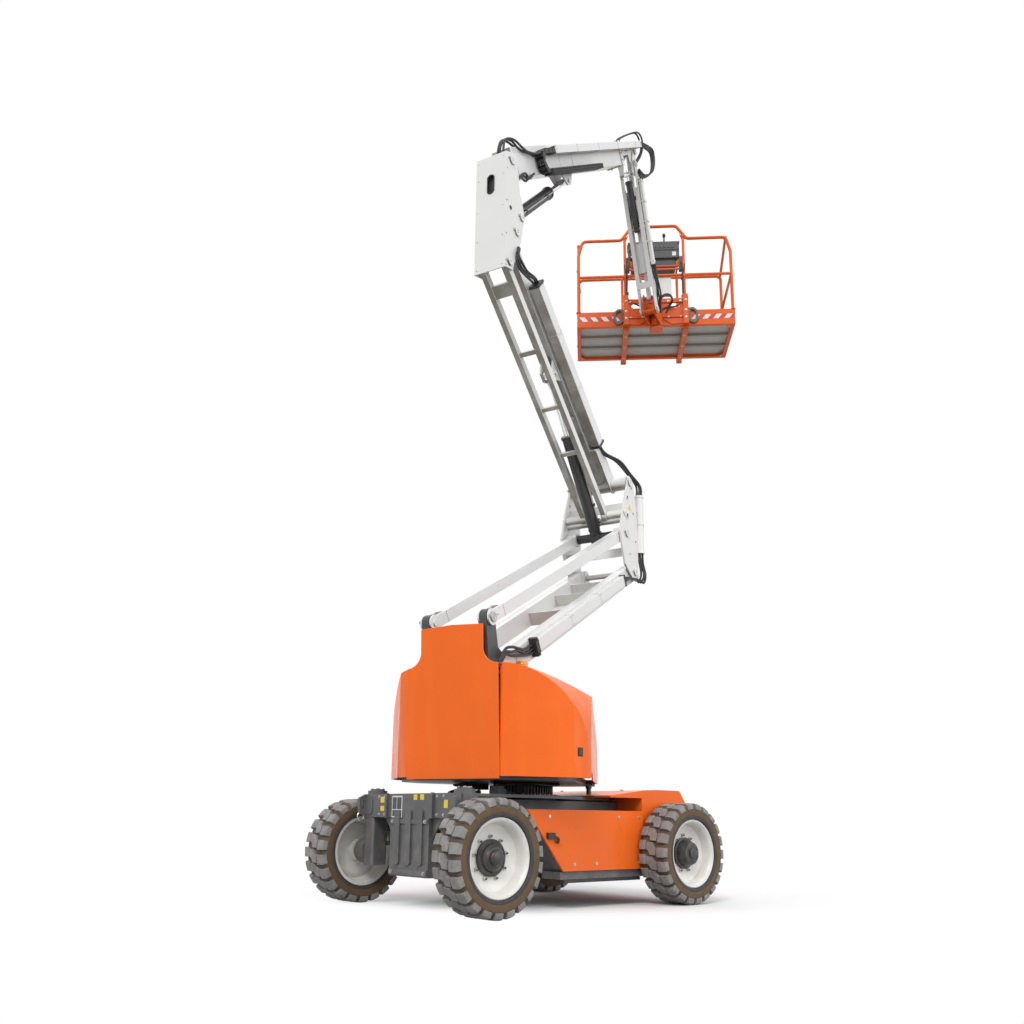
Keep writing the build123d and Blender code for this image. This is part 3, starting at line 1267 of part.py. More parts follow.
# mounting weldment on the near side, with the posts that the floor beams meet
POST_W = 60.0
MOUNT_T = 10.0
with BuildPart() as rotator_mount:
    for lat in (-POST_LAT, POST_LAT):
        with BuildSketch(platform(-50)):
            with Locations((P_NEAR - POST_W / 2 - RUN, lat)):
                Rectangle(POST_W, POST_W)
        extrude(amount=340)
    with BuildSketch(platform_front(P_NEAR - RUN - MOUNT_T)):
        with BuildLine():
            Polyline((-POST_LAT, 290), (POST_LAT, 290), (POST_LAT, -30), (180, -40), (100, 20),
                     (-100, 20), (-180, -40), (-POST_LAT, -30), close=True)
        make_face()
        with Locations((-215, 200), (215, 200)):
            SlotOverall(130, 60, mode=Mode.SUBTRACT)
    extrude(amount=MOUNT_T)
    # plates above and below the rotator's drum
    for z in (-150, 80):
        with BuildSketch(platform(z)):
            Circle(72)
            with Locations(((P_NEAR - RUN) / 2, 0)):
                Rectangle(P_NEAR - RUN, 144)
        extrude(amount=12)
    with BuildSketch(platform_front(P_NEAR - RUN - MOUNT_T)):
        with Locations((0, -55)):
            Rectangle(144, 190)
    extrude(amount=MOUNT_T)
    with BuildSketch(platform(-145)):
        Circle(ROTATOR_PIN_R)
    extrude(amount=230)
save(rotator_mount.part, "rotator_mount")

CONSOLE_W = 600.0
with BuildPart() as control_box:
    with BuildSketch(platform(850)):
        with Locations((NEAR_IN + TUBE_R + 105, 0)):
            Rectangle(190, CONSOLE_W)
    extrude(amount=215)
    with BuildSketch(platform(735)):
        with Locations((NEAR_IN + TUBE_R + 95, 0)):
            Rectangle(150, CONSOLE_W - 90)
    extrude(amount=116)
    for side in (-1, 1):
        with BuildSketch(platform(675)):
            with Locations((NEAR_IN + TUBE_R + 2, side * (CONSOLE_W / 2 - 10 + (POST_LAT - TUBE_R + 2 - RUN)) / 2)):
                Rectangle(60, POST_LAT - TUBE_R + 2 - RUN - CONSOLE_W / 2 + 10)
        extrude(amount=180)
    # document box under the console
    with BuildSketch(platform(365)):
        with Locations((NEAR_IN + TUBE_R - 2 + RUN + 25, -90)):
            Rectangle(50, 200)
    extrude(amount=250)
save(control_box.part, "control_box")
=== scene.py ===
"""Looks of the articulating boom lift: materials on the CAD nodes and the detail pieces round them."""
import math

import bmesh
import bpy
from mathutils import Matrix, Vector


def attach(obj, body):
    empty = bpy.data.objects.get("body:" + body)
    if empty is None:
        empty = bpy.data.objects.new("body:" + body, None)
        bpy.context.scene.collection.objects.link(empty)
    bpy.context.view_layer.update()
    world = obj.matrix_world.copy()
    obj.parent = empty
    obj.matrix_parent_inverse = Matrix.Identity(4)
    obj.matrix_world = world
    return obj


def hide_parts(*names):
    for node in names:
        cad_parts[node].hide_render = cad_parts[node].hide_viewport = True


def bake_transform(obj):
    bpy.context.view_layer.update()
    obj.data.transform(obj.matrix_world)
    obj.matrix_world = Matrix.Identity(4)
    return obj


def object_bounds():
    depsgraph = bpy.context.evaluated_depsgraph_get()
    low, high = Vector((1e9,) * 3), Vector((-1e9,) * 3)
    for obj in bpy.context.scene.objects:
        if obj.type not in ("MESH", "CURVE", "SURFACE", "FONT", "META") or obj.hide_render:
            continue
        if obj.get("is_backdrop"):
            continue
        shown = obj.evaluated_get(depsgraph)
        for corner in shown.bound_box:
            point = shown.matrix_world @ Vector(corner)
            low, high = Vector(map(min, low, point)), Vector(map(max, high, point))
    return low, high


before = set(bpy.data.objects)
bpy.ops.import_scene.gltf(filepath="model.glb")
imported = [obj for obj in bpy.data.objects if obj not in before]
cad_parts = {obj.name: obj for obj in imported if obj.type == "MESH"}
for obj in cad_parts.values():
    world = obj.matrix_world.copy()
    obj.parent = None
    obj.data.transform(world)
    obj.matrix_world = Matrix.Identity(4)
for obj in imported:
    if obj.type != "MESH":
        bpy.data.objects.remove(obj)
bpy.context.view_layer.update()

# ---------------------------------------------------------------- places, in mm as in the CAD source
def away(p, length, degrees):
    """The point at a length and an angle from p in the machine's side view."""
    a = math.radians(degrees)
    return (p[0] + length * math.cos(a), p[1] + length * math.sin(a))


def shifted(p, forward, up):
    return (p[0] + forward, p[1] + up)


SLEW = (-1461.0, -684.0)
SLEW_ANGLE = math.radians(18.3)
PLATFORM_ANGLE = math.radians(18.3 + 25.5)
AXLE_X = 950.0
TRACK_HALF = 750.0
WHEEL_R = 365.0
LUG_COUNT = 22
LOWER_LENGTH, LOWER_ANGLE = 2609.0, 27.7
UPPER_LENGTH, UPPER_ANGLE = 2455.0, 139.9
BOOM_LENGTH, BOOM_ANGLE = 3491.0, 35.9
JIB_LENGTH, JIB_ANGLE = 1610.0, -69.5
OUTER_LENGTH = BOOM_LENGTH - 471.0
LINK_FOOT = (-920.0, 1942.0)
ARM_FOOT = (-740.0, 1612.0)
LINK_TOP = away(LINK_FOOT, LOWER_LENGTH, LOWER_ANGLE)
ARM_TOP = away(ARM_FOOT, LOWER_LENGTH, LOWER_ANGLE)
ARM2_FOOT = shifted(ARM_TOP, -101.0, 845.0)
LINK2_FOOT = shifted(ARM2_FOOT, -114.0, -332.0)
ARM2_TOP = away(ARM2_FOOT, UPPER_LENGTH, UPPER_ANGLE)
LINK2_TOP = away(LINK2_FOOT, UPPER_LENGTH, UPPER_ANGLE)
BOOM_FOOT = shifted(ARM2_TOP, -99.0, 607.0)
BOOM_CYL_FOOT = shifted(BOOM_FOOT, 173.0, -427.0)
BOOM_TIP = away(BOOM_FOOT, BOOM_LENGTH, BOOM_ANGLE)
JIB_FOOT = shifted(BOOM_TIP, -12.0, -165.0)
JIB_TIP = away(JIB_FOOT, JIB_LENGTH, JIB_ANGLE)
JIB_LINK_TIP = shifted(JIB_TIP, 12.0, 165.0)
ROTATOR = shifted(JIB_TIP, 212.0, 0.0)
FLOOR = ROTATOR[1] + 20.0
RISER_EYE = away(away(ARM2_FOOT, 1257, UPPER_ANGLE), 125, UPPER_ANGLE + 90)
BOOM_EYE = away(away(BOOM_FOOT, 1339, BOOM_ANGLE), 198, BOOM_ANGLE - 90)
JIB_CYL_FOOT = away(JIB_FOOT, 700, JIB_ANGLE)
JIB_EYE = away(JIB_FOOT, 120, -100)

# distances of faces and rails from the middle of their frame
KINGPIN_LAT = 500
SKIRT_LAT = 620
BATTERY_LAT = 450
RAIL_LAT = 237
UPRIGHT_LAT = 304
BOX_LAT = 141
BOOM_SIDE = 84
JIB_SIDE = 95
BRACKET_LAT = 67
POST_LAT = 345
CORNER_LAT = 895
TOE_LAT = 869
BEAM_X = -1019.5
BOX_TAIL = ARM2_TOP[0] - 191
CONSOLE_TOP = 1076

X, Y, Z = (1, 0, 0), (0, 1, 0), (0, 0, 1)
SIDES = (-1, 1)

# ---------------------------------------------------------------- frames: mm in, metres out
def axes(origin, x, y, z):
    m = Matrix((x, y, z)).transposed().to_4x4()
    m.translation = Vector(origin)
    return Matrix.Scale(0.001, 4) @ m


FORWARD = Vector((math.cos(SLEW_ANGLE), math.sin(SLEW_ANGLE), 0))
LEFT = Vector((-math.sin(SLEW_ANGLE), math.cos(SLEW_ANGLE), 0))
UP = Vector((0, 0, 1))
CHASSIS = axes((SLEW[0], SLEW[1], 0), Vector((1, 0, 0)), Vector((0, 1, 0)), UP)
TURRET = axes((SLEW[0], SLEW[1], 0), FORWARD, LEFT, UP)
P_FORWARD = Vector((math.cos(PLATFORM_ANGLE), math.sin(PLATFORM_ANGLE), 0))
P_LEFT = Vector((-math.sin(PLATFORM_ANGLE), math.cos(PLATFORM_ANGLE), 0))
P_ORIGIN = Vector((SLEW[0], SLEW[1], FLOOR)) + FORWARD * ROTATOR[0]
PLATFORM = axes(P_ORIGIN, P_FORWARD, P_LEFT, UP)


def member(a, b):
    """x from pin a to pin b, y up its depth, z to the right."""
    d = Vector((b[0] - a[0], b[1] - a[1])).normalized()
    x = FORWARD * d.x + UP * d.y
    y = FORWARD * -d.y + UP * d.x
    return axes(Vector((SLEW[0], SLEW[1], a[1])) + FORWARD * a[0], x, y, -LEFT)


LINKS = member(LINK_FOOT, LINK_TOP)
ARM = member(ARM_FOOT, ARM_TOP)
ARM2 = member(ARM2_FOOT, ARM2_TOP)
LINK2 = member(LINK2_FOOT, LINK2_TOP)
BOOM = member(BOOM_FOOT, BOOM_TIP)
JIB = member(JIB_FOOT, JIB_TIP)


def at(m, *p):
    return m @ Vector(p)



# ---------------------------------------------------------------- mesh building
def circle(n, r, turn=0.0):
    """n points round a circle."""
    angles = [2 * math.pi * i / n + turn for i in range(n)]
    return [(r * math.cos(a), r * math.sin(a)) for a in angles]


def round_edges(o, bevel, angle):
    """A bevel in mm on every edge sharper than the angle; 0 leaves them sharp."""
    if bevel:
        b = o.modifiers.new("edges", "BEVEL")
        b.width, b.segments, b.limit_method = bevel * 0.001, 2, "ANGLE"
        b.angle_limit = math.radians(angle)
        b.harden_normals = True


class Mesh:
    """Collects solids in the frame m, then becomes one bevelled object. mat picks from its materials."""

    def __init__(self, m):
        self.m, self.verts, self.faces, self.mats = m, [], [], []

    def add(self, points, faces, mat=0):
        n = len(self.verts)
        self.verts += [self.m @ Vector(p) for p in points]
        self.faces += [tuple(n + i for i in f) for f in faces]
        self.mats += [mat] * len(faces)
        return self

    def block(self, a, b, mat=0):
        """A box with a and b as opposite corners."""
        pts = [(x, y, z) for z in (a[2], b[2]) for y in (a[1], b[1]) for x in (a[0], b[0])]
        return self.add(pts, [(0, 2, 3, 1), (4, 5, 7, 6), (0, 1, 5, 4), (2, 6, 7, 3),
                              (0, 4, 6, 2), (1, 3, 7, 5)], mat)

    def loft(self, rings, mat=0, closed=False):
        """A solid through one outline after another, capped at both ends or closed on itself."""
        n, count = len(rings[0]), len(rings)
        faces = [] if closed else [tuple(range(n))[::-1], tuple(range((count - 1) * n, count * n))]
        for i in range(count if closed else count - 1):
            a, b = i * n, (i + 1) % count * n
            faces += [(a + j, a + (j + 1) % n, b + (j + 1) % n, b + j) for j in range(n)]
        return self.add([p for ring in rings for p in ring], faces, mat)

    def prism(self, outline, lo, hi, plane="xy", mat=0):
        """An outline in one plane of the frame, extruded along the third axis from lo to hi."""
        place = {"xy": lambda u, v, w: (u, v, w), "xz": lambda u, v, w: (u, w, v),
                 "yz": lambda u, v, w: (w, u, v)}[plane]
        return self.loft([[place(u, v, w) for u, v in outline] for w in (lo, hi)], mat)

    def spin(self, base, direction, profile, n=24, mat=0, turn=0.0, loop=False):
        """A turned solid: profile is (distance along the axis, radius); loop closes it as a ring."""
        d = Vector(direction).normalized()
        u = d.orthogonal().normalized()
        v = d.cross(u)
        pts, rings = [], []
        for t, r in profile:
            if r <= 0:
                rings.append([len(pts)] * n)
                pts.append(Vector(base) + d * t)
                continue
            rings.append(list(range(len(pts), len(pts) + n)))
            pts += [Vector(base) + d * t + u * a + v * b for a, b in circle(n, r, turn)]
        faces = []
        for a, b in list(zip(rings, rings[1:])) + ([(rings[-1], rings[0])] if loop else []):
            for k in range(n):
                j = (k + 1) % n
                f = [a[k], a[j], b[j], b[k]]
                f = [i for q, i in enumerate(f) if i != f[q - 1]]
                if len(f) > 2:
                    faces.append(tuple(f))
        if not loop:
            for ring, flip in ((rings[0], True), (rings[-1], False)):
                if ring[0] != ring[1]:
                    faces.append(tuple(ring[::-1] if flip else ring))
        return self.add(pts, faces, mat)

    def ring(self, base, direction, start, stop, outer, inner, n=32, mat=0, edge=None):
        """A flat ring along the axis from start to stop; edge is the chamfer, along and across."""
        profile = [(start, outer), (stop, outer), (stop, inner), (start, inner)]
        if edge:
            profile[1:2] = [(stop - edge[0], outer), (stop, outer - edge[1])]
        return self.spin(base, direction, profile, n, mat, 0, True)

    def disc(self, base, direction, r, h, n, mat=0, chamfer=1.5):
        c = min(chamfer, h * 0.4, r * 0.4)
        return self.spin(base, direction, [(0, r), (h - c, r), (h, r - c)], n, mat)

    def bolt(self, base, direction, r, mat=0):
        """A hexagon head on its washer."""
        self.disc(base, direction, r * 1.55, r * 0.25, 20, mat, 0.6)
        return self.spin(base, direction, [(r * 0.25, r), (r * 1.0, r), (r * 1.15, r * 0.82)], 6, mat, 0.3)

    def tube(self, points, r, n=12, mat=0, steps=8, closed=False):
        """A round tube along a smooth line through the points."""
        p = [Vector(q) for q in points]
        line = []
        for i in range(len(p) if closed else len(p) - 1):
            if closed:
                a, b, c, d = p[i - 1], p[i], p[(i + 1) % len(p)], p[(i + 2) % len(p)]
            else:
                b, c = p[i], p[i + 1]
                a = p[i - 1] if i else b * 2 - c
                d = p[i + 2] if i + 2 < len(p) else c * 2 - b
            for t in (k / steps for k in range(steps)):
                line.append((b * 2 + (c - a) * t + (a * 2 - b * 5 + c * 4 - d) * t * t
                             + (b * 3 - a - c * 3 + d) * t ** 3) * 0.5)
        if not closed:
            line.append(p[-1])
        rings, side = [], None
        for i, q in enumerate(line):
            after = line[(i + 1) % len(line)] if closed or i + 1 < len(line) else q
            before = line[i - 1] if closed or i else q
            d = (after - before).normalized()
            side = d.orthogonal() if side is None else side - d * side.dot(d)
            side.normalize()
            other = d.cross(side)
            rings.append([q + side * a + other * b for a, b in circle(n, r)])
        return self.loft(rings, mat, closed)

    def bead(self, a, b, r=4):
        """A straight weld bead."""
        return self.tube([a, b], r, 8, 0, 1)

    def object(self, name, materials, bevel):
        """One object from all of it, with outward faces, smooth shading and a bevel in mm."""
        mesh = bpy.data.meshes.new(name)
        mesh.from_pydata(self.verts, [], self.faces)
        for i, m in enumerate(self.mats):
            mesh.polygons[i].material_index = m
        for m in materials:
            mesh.materials.append(m)
        bm = bmesh.new()
        bm.from_mesh(mesh)
        bmesh.ops.remove_doubles(bm, verts=bm.verts, dist=1e-6)
        bmesh.ops.recalc_face_normals(bm, faces=bm.faces)
        bm.to_mesh(mesh)
        bm.free()
        mesh.shade_smooth()
        mesh.set_sharp_from_angle(angle=math.radians(35))
        o = bpy.data.objects.new(name, mesh)
        bpy.context.scene.collection.objects.link(o)
        round_edges(o, bevel, 35)
        return o


def put(mesh, name, body, materials, bevel):
    """Makes the piece, which rides on the body, in the materials given."""
    o = mesh.object(name, materials, bevel)
    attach(o, body)
    return o


# ---------------------------------------------------------------- materials
def emptied(data, kind):
    """The emptied node tree of a material or world, and the input of its new output node."""
    data.use_nodes = True
    t = data.node_tree
    t.nodes.clear()
    return t, t.nodes.new(kind).inputs[0]


def shader(name):
    """A material, its node tree and the principled shader in it."""
    m = bpy.data.materials.new(name)
    t, out = emptied(m, "ShaderNodeOutputMaterial")
    bsdf = t.nodes.new("ShaderNodeBsdfPrincipled")
    t.links.new(bsdf.outputs[0], out)
    return m, t, bsdf


def connect(t, n, inputs):
    """Each input takes a link from a socket, or a plain value."""
    for k, v in inputs.items():
        if isinstance(v, bpy.types.NodeSocket):
            t.links.new(v, n.inputs[k])
        else:
            n.inputs[k].default_value = v


def node(t, kind, inputs=None, **values):
    n = t.nodes.new(kind)
    for k, v in values.items():
        setattr(n, k, v)
    connect(t, n, inputs or {})
    return n


def noise(t, coord, scale, detail, rough=0.55):
    return node(t, "ShaderNodeTexNoise", {"Vector": coord, "Scale": scale, "Detail": detail,
                                          "Roughness": rough}).outputs["Fac"]


def ramp(t, value, lo, hi, a=0.0, b=1.0):
    return node(t, "ShaderNodeMapRange", {"Value": value, "From Min": lo, "From Max": hi,
                                          "To Min": a, "To Max": b}).outputs[0]


def mix(t, fac, a, b):
    """A mix of two colours, each a socket or three numbers."""
    a, b = [v if isinstance(v, bpy.types.NodeSocket) else (*v, 1.0) for v in (a, b)]
    return node(t, "ShaderNodeMix", {0: fac, 6: a, 7: b}, data_type="RGBA").outputs[2]


def times(t, a, b):
    return node(t, "ShaderNodeMath", {0: a, 1: b}, operation="MULTIPLY", use_clamp=True).outputs[0]


def scaled(c, k):
    return tuple(min(1.0, x * k) for x in c)


def bumped(t, bsdf, heights):
    """heights are (socket, strength, distance), laid one on another."""
    last = None
    for h, strength, distance in heights:
        n = node(t, "ShaderNodeBump", {"Height": h, "Strength": strength, "Distance": distance})
        if last:
            t.links.new(last, n.inputs["Normal"])
        last = n.outputs[0]
    t.links.new(last, bsdf.inputs["Normal"])


def edge_mask(t):
    """1 on worn edges: where the rounded normal leaves the face's own."""
    soft = node(t, "ShaderNodeBevel", {"Radius": 0.003}, samples=4).outputs[0]
    face = node(t, "ShaderNodeNewGeometry").outputs["Normal"]
    dot = node(t, "ShaderNodeVectorMath", {0: soft, 1: face}, operation="DOT_PRODUCT").outputs["Value"]
    return ramp(t, dot, 0.985, 0.80)


def paint(name, colour, rough, coat, spread, dust, dust_z=(0.2, 1.2), edge=0.0,
          edge_colour=(0.55, 0.55, 0.55), highlight_bands=0.0, corner_shade=0.35, region=None, under=0.0, gloss=0.5):
    """Sprayed metal: cloudy tone, orange peel, dust that settles low down, painted shade in corners, worn
    edges.

    region gives the mask of a grey brown painted shade; under is the strength of an olive painted shade on
    faces that look down.
    """
    m, t, b = shader(name)
    coord = node(t, "ShaderNodeTexCoord").outputs["Object"]
    cloud = noise(t, coord, 2.3, 5.0)
    fine = noise(t, coord, 34.0, 3.0)
    col = mix(t, ramp(t, cloud, 0.3, 0.7), scaled(colour, 1 - spread), scaled(colour, 1 + spread))
    col = mix(t, ramp(t, fine, 0.45, 0.75, 0.0, 0.3), col, scaled(colour, 1 - 1.6 * spread))
    # painted shade: the masked region (the deck's underside) turns grey brown
    if region:
        col = mix(t, region(t, coord), col, (0.336, 0.304, 0.256))
    # painted highlight: lighter, yellower vertical bands stand in for light on gently curved panels
    if highlight_bands:
        tall = node(t, "ShaderNodeMapping", {"Vector": coord, "Scale": (9.0, 9.0, 0.7)}).outputs[0]
        col = mix(t, ramp(t, noise(t, tall, 1.0, 3.0), 0.55, 0.8, 0.0, highlight_bands), col,
                  (min(1.0, colour[0] * 1.02), colour[1] * 1.4, colour[2] * 1.5))
    z = node(t, "ShaderNodeSeparateXYZ", {0: coord}).outputs[2]
    low = ramp(t, z, dust_z[1], dust_z[0])
    col = mix(t, times(t, times(t, low, ramp(t, noise(t, coord, 11.0, 6.0, 0.65), 0.42, 0.72)), dust),
              col, (0.36, 0.30, 0.24))
    # painted shade: the colour darkens where ambient occlusion finds corners and crevices
    ao = node(t, "ShaderNodeAmbientOcclusion", {"Distance": 0.05}, samples=4).outputs["AO"]
    corner_shade_mask = times(t, ramp(t, ao, 0.75, 0.15), ramp(t, fine, 0.3, 0.7, 0.4, 1.0))
    col = mix(t, times(t, corner_shade_mask, corner_shade), col, scaled(colour, 0.25))
    # painted shade: faces that look down in the part's own frame turn olive
    if under:
        normal = node(t, "ShaderNodeTexCoord").outputs["Normal"]
        down = node(t, "ShaderNodeSeparateXYZ", {0: normal}).outputs[2]
        underside_shade_mask = times(t, ramp(t, down, -0.25, -0.70), ramp(t, noise(t, coord, 5.0, 4.0), 0.25, 0.6, 0.6, 1.0))
        col = mix(t, times(t, underside_shade_mask, under), col, (0.135, 0.120, 0.070))
    if edge:
        worn = times(t, edge_mask(t), ramp(t, noise(t, coord, 22.0, 5.0, 0.7), 0.45, 0.62))
        col = mix(t, times(t, worn, edge), col, edge_colour)
    dull = ramp(t, noise(t, coord, 7.0, 5.0), 0.3, 0.75, rough * 0.8, min(1.0, rough * 1.35))
    connect(t, b, {"Base Color": col, "Roughness": dull, "Specular IOR Level": gloss, "Coat Weight": coat,
                   "Coat Roughness": 0.12})
    bumped(t, b, [(noise(t, coord, 650.0, 2.0), 0.06, 0.0006), (cloud, 0.05, 0.006)])
    return m


def grained(name, colour, rough, grain, strength, spread, second, patch, metallic=0.0, distance=0.0008):
    """Rubber, plastic, cast or bare metal: fine grain with soft patches of a second colour."""
    m, t, b = shader(name)
    coord = node(t, "ShaderNodeTexCoord").outputs["Object"]
    big = noise(t, coord, 6.0, 6.0, 0.6)
    col = mix(t, ramp(t, big, 0.3, 0.7), scaled(colour, 1 - spread), scaled(colour, 1 + spread))
    blot = noise(t, coord, 17.0, 7.0, 0.68)
    col = mix(t, ramp(t, blot, 0.46, 0.66, 0.0, patch), col, second)
    dull = ramp(t, noise(t, coord, 40.0, 4.0), 0.3, 0.7, rough * 0.85, min(1.0, rough * 1.15))
    connect(t, b, {"Base Color": col, "Roughness": dull, "Metallic": metallic})
    bumped(t, b, [(noise(t, coord, grain, 3.0), strength, distance), (big, 0.1, 0.003)])
    return m


def floor_inside(t, coord):
    """1 on the underside of the platform's deck and its stiffeners, inside the frame, where the deck paint
    takes a grey brown painted shade.
    """
    def between(axis, lo, hi):
        dot = node(t, "ShaderNodeVectorMath", {0: coord, 1: tuple(axis)}, operation="DOT_PRODUCT")
        place, shift = dot.outputs["Value"], axis.dot(P_ORIGIN) * 0.001
        above = node(t, "ShaderNodeMath", {0: place, 1: shift + lo}, operation="GREATER_THAN").outputs[0]
        below = node(t, "ShaderNodeMath", {0: place, 1: shift + hi}, operation="LESS_THAN").outputs[0]
        return times(t, above, below)
    inside = times(t, between(P_FORWARD, 0.136, 0.894), between(P_LEFT, -0.869, 0.869))
    return times(t, inside, between(UP, -0.047, -0.004))


ORANGE = (0.93, 0.150, 0.010)
ORANGE_P = (0.74, 0.115, 0.012)
# orange paint with painted highlight bands and painted shade in corners
M_ORANGE = paint("orange_paint", ORANGE, 0.30, 0.15, 0.05, 0.10, (0.2, 1.0), highlight_bands=0.45, corner_shade=0.3,
                 gloss=0.2)
M_RAIL = paint("platform_paint", ORANGE_P, 0.38, 0.1, 0.07, 0.0, edge=0.35, gloss=0.25,
               edge_colour=(0.55, 0.42, 0.35))
# deck paint with a grey brown painted shade on its underside
M_DECK = paint("platform_floor_paint", ORANGE_P, 0.42, 0.1, 0.08, 0.0, edge=0.3, gloss=0.25,
               edge_colour=(0.55, 0.42, 0.35), region=floor_inside)
M_GREY = paint("chassis_paint", (0.105, 0.105, 0.110), 0.48, 0.1, 0.12, 0.35, (0.15, 0.9), edge=0.5,
               edge_colour=(0.33, 0.33, 0.33))
M_TOWER = paint("tower_paint", (0.060, 0.062, 0.068), 0.45, 0.12, 0.12, 0.1, (0.6, 1.6), edge=0.4,
                edge_colour=(0.28, 0.28, 0.28))
# white paint: olive painted shade on its undersides, and painted shade in corners
M_WHITE = paint("white_paint", (0.80, 0.80, 0.785), 0.33, 0.35, 0.025, 0.0, corner_shade=0.6, edge=0.12,
                under=0.85, edge_colour=(0.60, 0.60, 0.57))
M_RIM = paint("rim_paint", (0.80, 0.79, 0.75), 0.38, 0.2, 0.03, 0.30, (0.0, 0.75), corner_shade=0.55)
M_BLACK = paint("black_steel", (0.022, 0.022, 0.024), 0.42, 0.2, 0.2, 0.25, (0.1, 0.8), edge=0.5,
                edge_colour=(0.16, 0.16, 0.16))
M_CAST = grained("gear_steel", (0.050, 0.048, 0.045), 0.5, 220.0, 0.35, 0.2, (0.16, 0.12, 0.07), 0.35, 0.6)
M_ZINC = grained("zinc", (0.52, 0.51, 0.48), 0.36, 400.0, 0.15, 0.1, (0.32, 0.30, 0.27), 0.4, 0.9)
M_CHROME = grained("chrome_rod", (0.80, 0.80, 0.82), 0.12, 900.0, 0.04, 0.03, (0.62, 0.62, 0.64), 0.3, 1.0)
M_RUBBER = grained("hose_rubber", (0.018, 0.018, 0.019), 0.5, 500.0, 0.25, 0.2, (0.05, 0.05, 0.05), 0.3)
M_PLASTIC = grained("black_plastic", (0.026, 0.026, 0.028), 0.52, 700.0, 0.2, 0.15, (0.06, 0.06, 0.06), 0.25)
M_PANEL = grained("console_panel", (0.062, 0.062, 0.065), 0.5, 800.0, 0.25, 0.1, (0.10, 0.10, 0.10), 0.25)
M_BATTERY = grained("battery_case", (0.035, 0.036, 0.042), 0.55, 500.0, 0.2, 0.15, (0.09, 0.09, 0.09), 0.3)
M_LUG = grained("tyre_lugs", (0.235, 0.228, 0.222), 0.85, 260.0, 0.55, 0.14, (0.40, 0.385, 0.37), 0.6,
                distance=0.002)
M_TREAD = grained("tyre_tread", (0.120, 0.090, 0.070), 0.9, 200.0, 0.5, 0.2, (0.06, 0.05, 0.045), 0.6)
M_SIDE = grained("tyre_side", (0.125, 0.080, 0.038), 0.8, 300.0, 0.3, 0.15, (0.075, 0.052, 0.030), 0.5)
M_BEAD = grained("tyre_bead", (0.040, 0.040, 0.044), 0.7, 320.0, 0.3, 0.2, (0.08, 0.075, 0.065), 0.4)
M_YELLOW = grained("yellow_sticker", (0.86, 0.62, 0.03), 0.4, 600.0, 0.05, 0.05, (0.55, 0.38, 0.03), 0.25)
M_LABEL = grained("white_sticker", (0.74, 0.74, 0.72), 0.42, 600.0, 0.05, 0.04, (0.5, 0.5, 0.48), 0.25)
M_RED = grained("red_tape", (0.62, 0.035, 0.02), 0.35, 900.0, 0.12, 0.08, (0.36, 0.03, 0.02), 0.25)
M_SHEET = grained("perforated_sheet", (0.36, 0.34, 0.33), 0.5, 350.0, 0.2, 0.1, (0.24, 0.22, 0.20), 0.5, 0.3)
M_LINER = grained("deck_liner", (0.78, 0.77, 0.75), 0.6, 350.0, 0.1, 0.05, (0.6, 0.58, 0.55), 0.4)
M_HANDLE = grained("grey_handle", (0.115, 0.12, 0.125), 0.5, 500.0, 0.25, 0.12, (0.2, 0.2, 0.2), 0.3)


def amber_material():
    m, t, b = shader("amber_lens")
    coord = node(t, "ShaderNodeTexCoord").outputs["Object"]
    col = mix(t, ramp(t, noise(t, coord, 60.0, 3.0), 0.3, 0.7), (1.0, 0.30, 0.015), (1.0, 0.42, 0.04))
    connect(t, b, {"Base Color": col, "Roughness": 0.16, "Coat Weight": 0.5, "Subsurface Weight": 0.25,
                   "Subsurface Radius": (0.02, 0.008, 0.002)})
    bumped(t, b, [(noise(t, coord, 240.0, 2.0), 0.08, 0.001)])
    return m


M_AMBER = amber_material()

# ---------------------------------------------------------------- CAD nodes: material and rounded edges
NODES = (
    (M_GREY, 4, "chassis_frame"), (M_BLACK, 4, "drive_axle"), (M_GREY, 3, "knuckle_left knuckle_right"),
    (M_ORANGE, 3, "side_skirts cowl_left cowl_right"), (M_ORANGE, 8, "drive_hood"),
    (M_CAST, 1, "slew_ring"), (M_BLACK, 2, "steer_cylinder riser_barrel boom_barrel jib_barrel"),
    (M_CHROME, 0.5, "steer_rod"), (M_TOWER, 4, "turret_frame"), (M_ORANGE, 4, "cowl_tail"),
    (M_BATTERY, 6, "battery_packs"), (M_GREY, 10, "counterweight"), (M_AMBER, 1.5, "beacon"),
    (M_WHITE, 7, "lower_links lower_arm"), (M_WHITE, 2.5, "mid_upright"), (M_WHITE, 6, "upper_arm"),
    (M_WHITE, 5, "upper_link jib_link"), (M_WHITE, 3, "top_upright boom_outer"),
    (M_CHROME, 1, "riser_rod boom_rod jib_rod"), (M_WHITE, 2, "boom_inner jib_knuckle jib_arm"),
    (M_RAIL, 2, "platform_bracket rotator_mount"), (M_DECK, 1.2, "platform_floor"),
    (M_RAIL, 0, "platform_rails platform_gate"), (M_PANEL, 5, "control_box"),
    (M_RIM, 2, "rim_steer_left rim_steer_right rim_drive_left rim_drive_right"),
)


def dress(name, material, bevel):
    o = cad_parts[name]
    o.data.materials.clear()
    o.data.materials.append(material)
    for p in o.data.polygons:
        p.use_smooth = True
        p.material_index = 0
    o.modifiers.new("weld", "WELD").merge_threshold = 0.00002
    round_edges(o, bevel, 32)
    soft = o.modifiers.new("normals", "WEIGHTED_NORMAL")
    soft.weight = 100
    soft.keep_sharp = True


for material, bevel, names in NODES:
    for name in names.split():
        dress(name, material, bevel)


# In the sections that follow k is the mesh in hand, and s in SIDES is one side of the frame's middle.

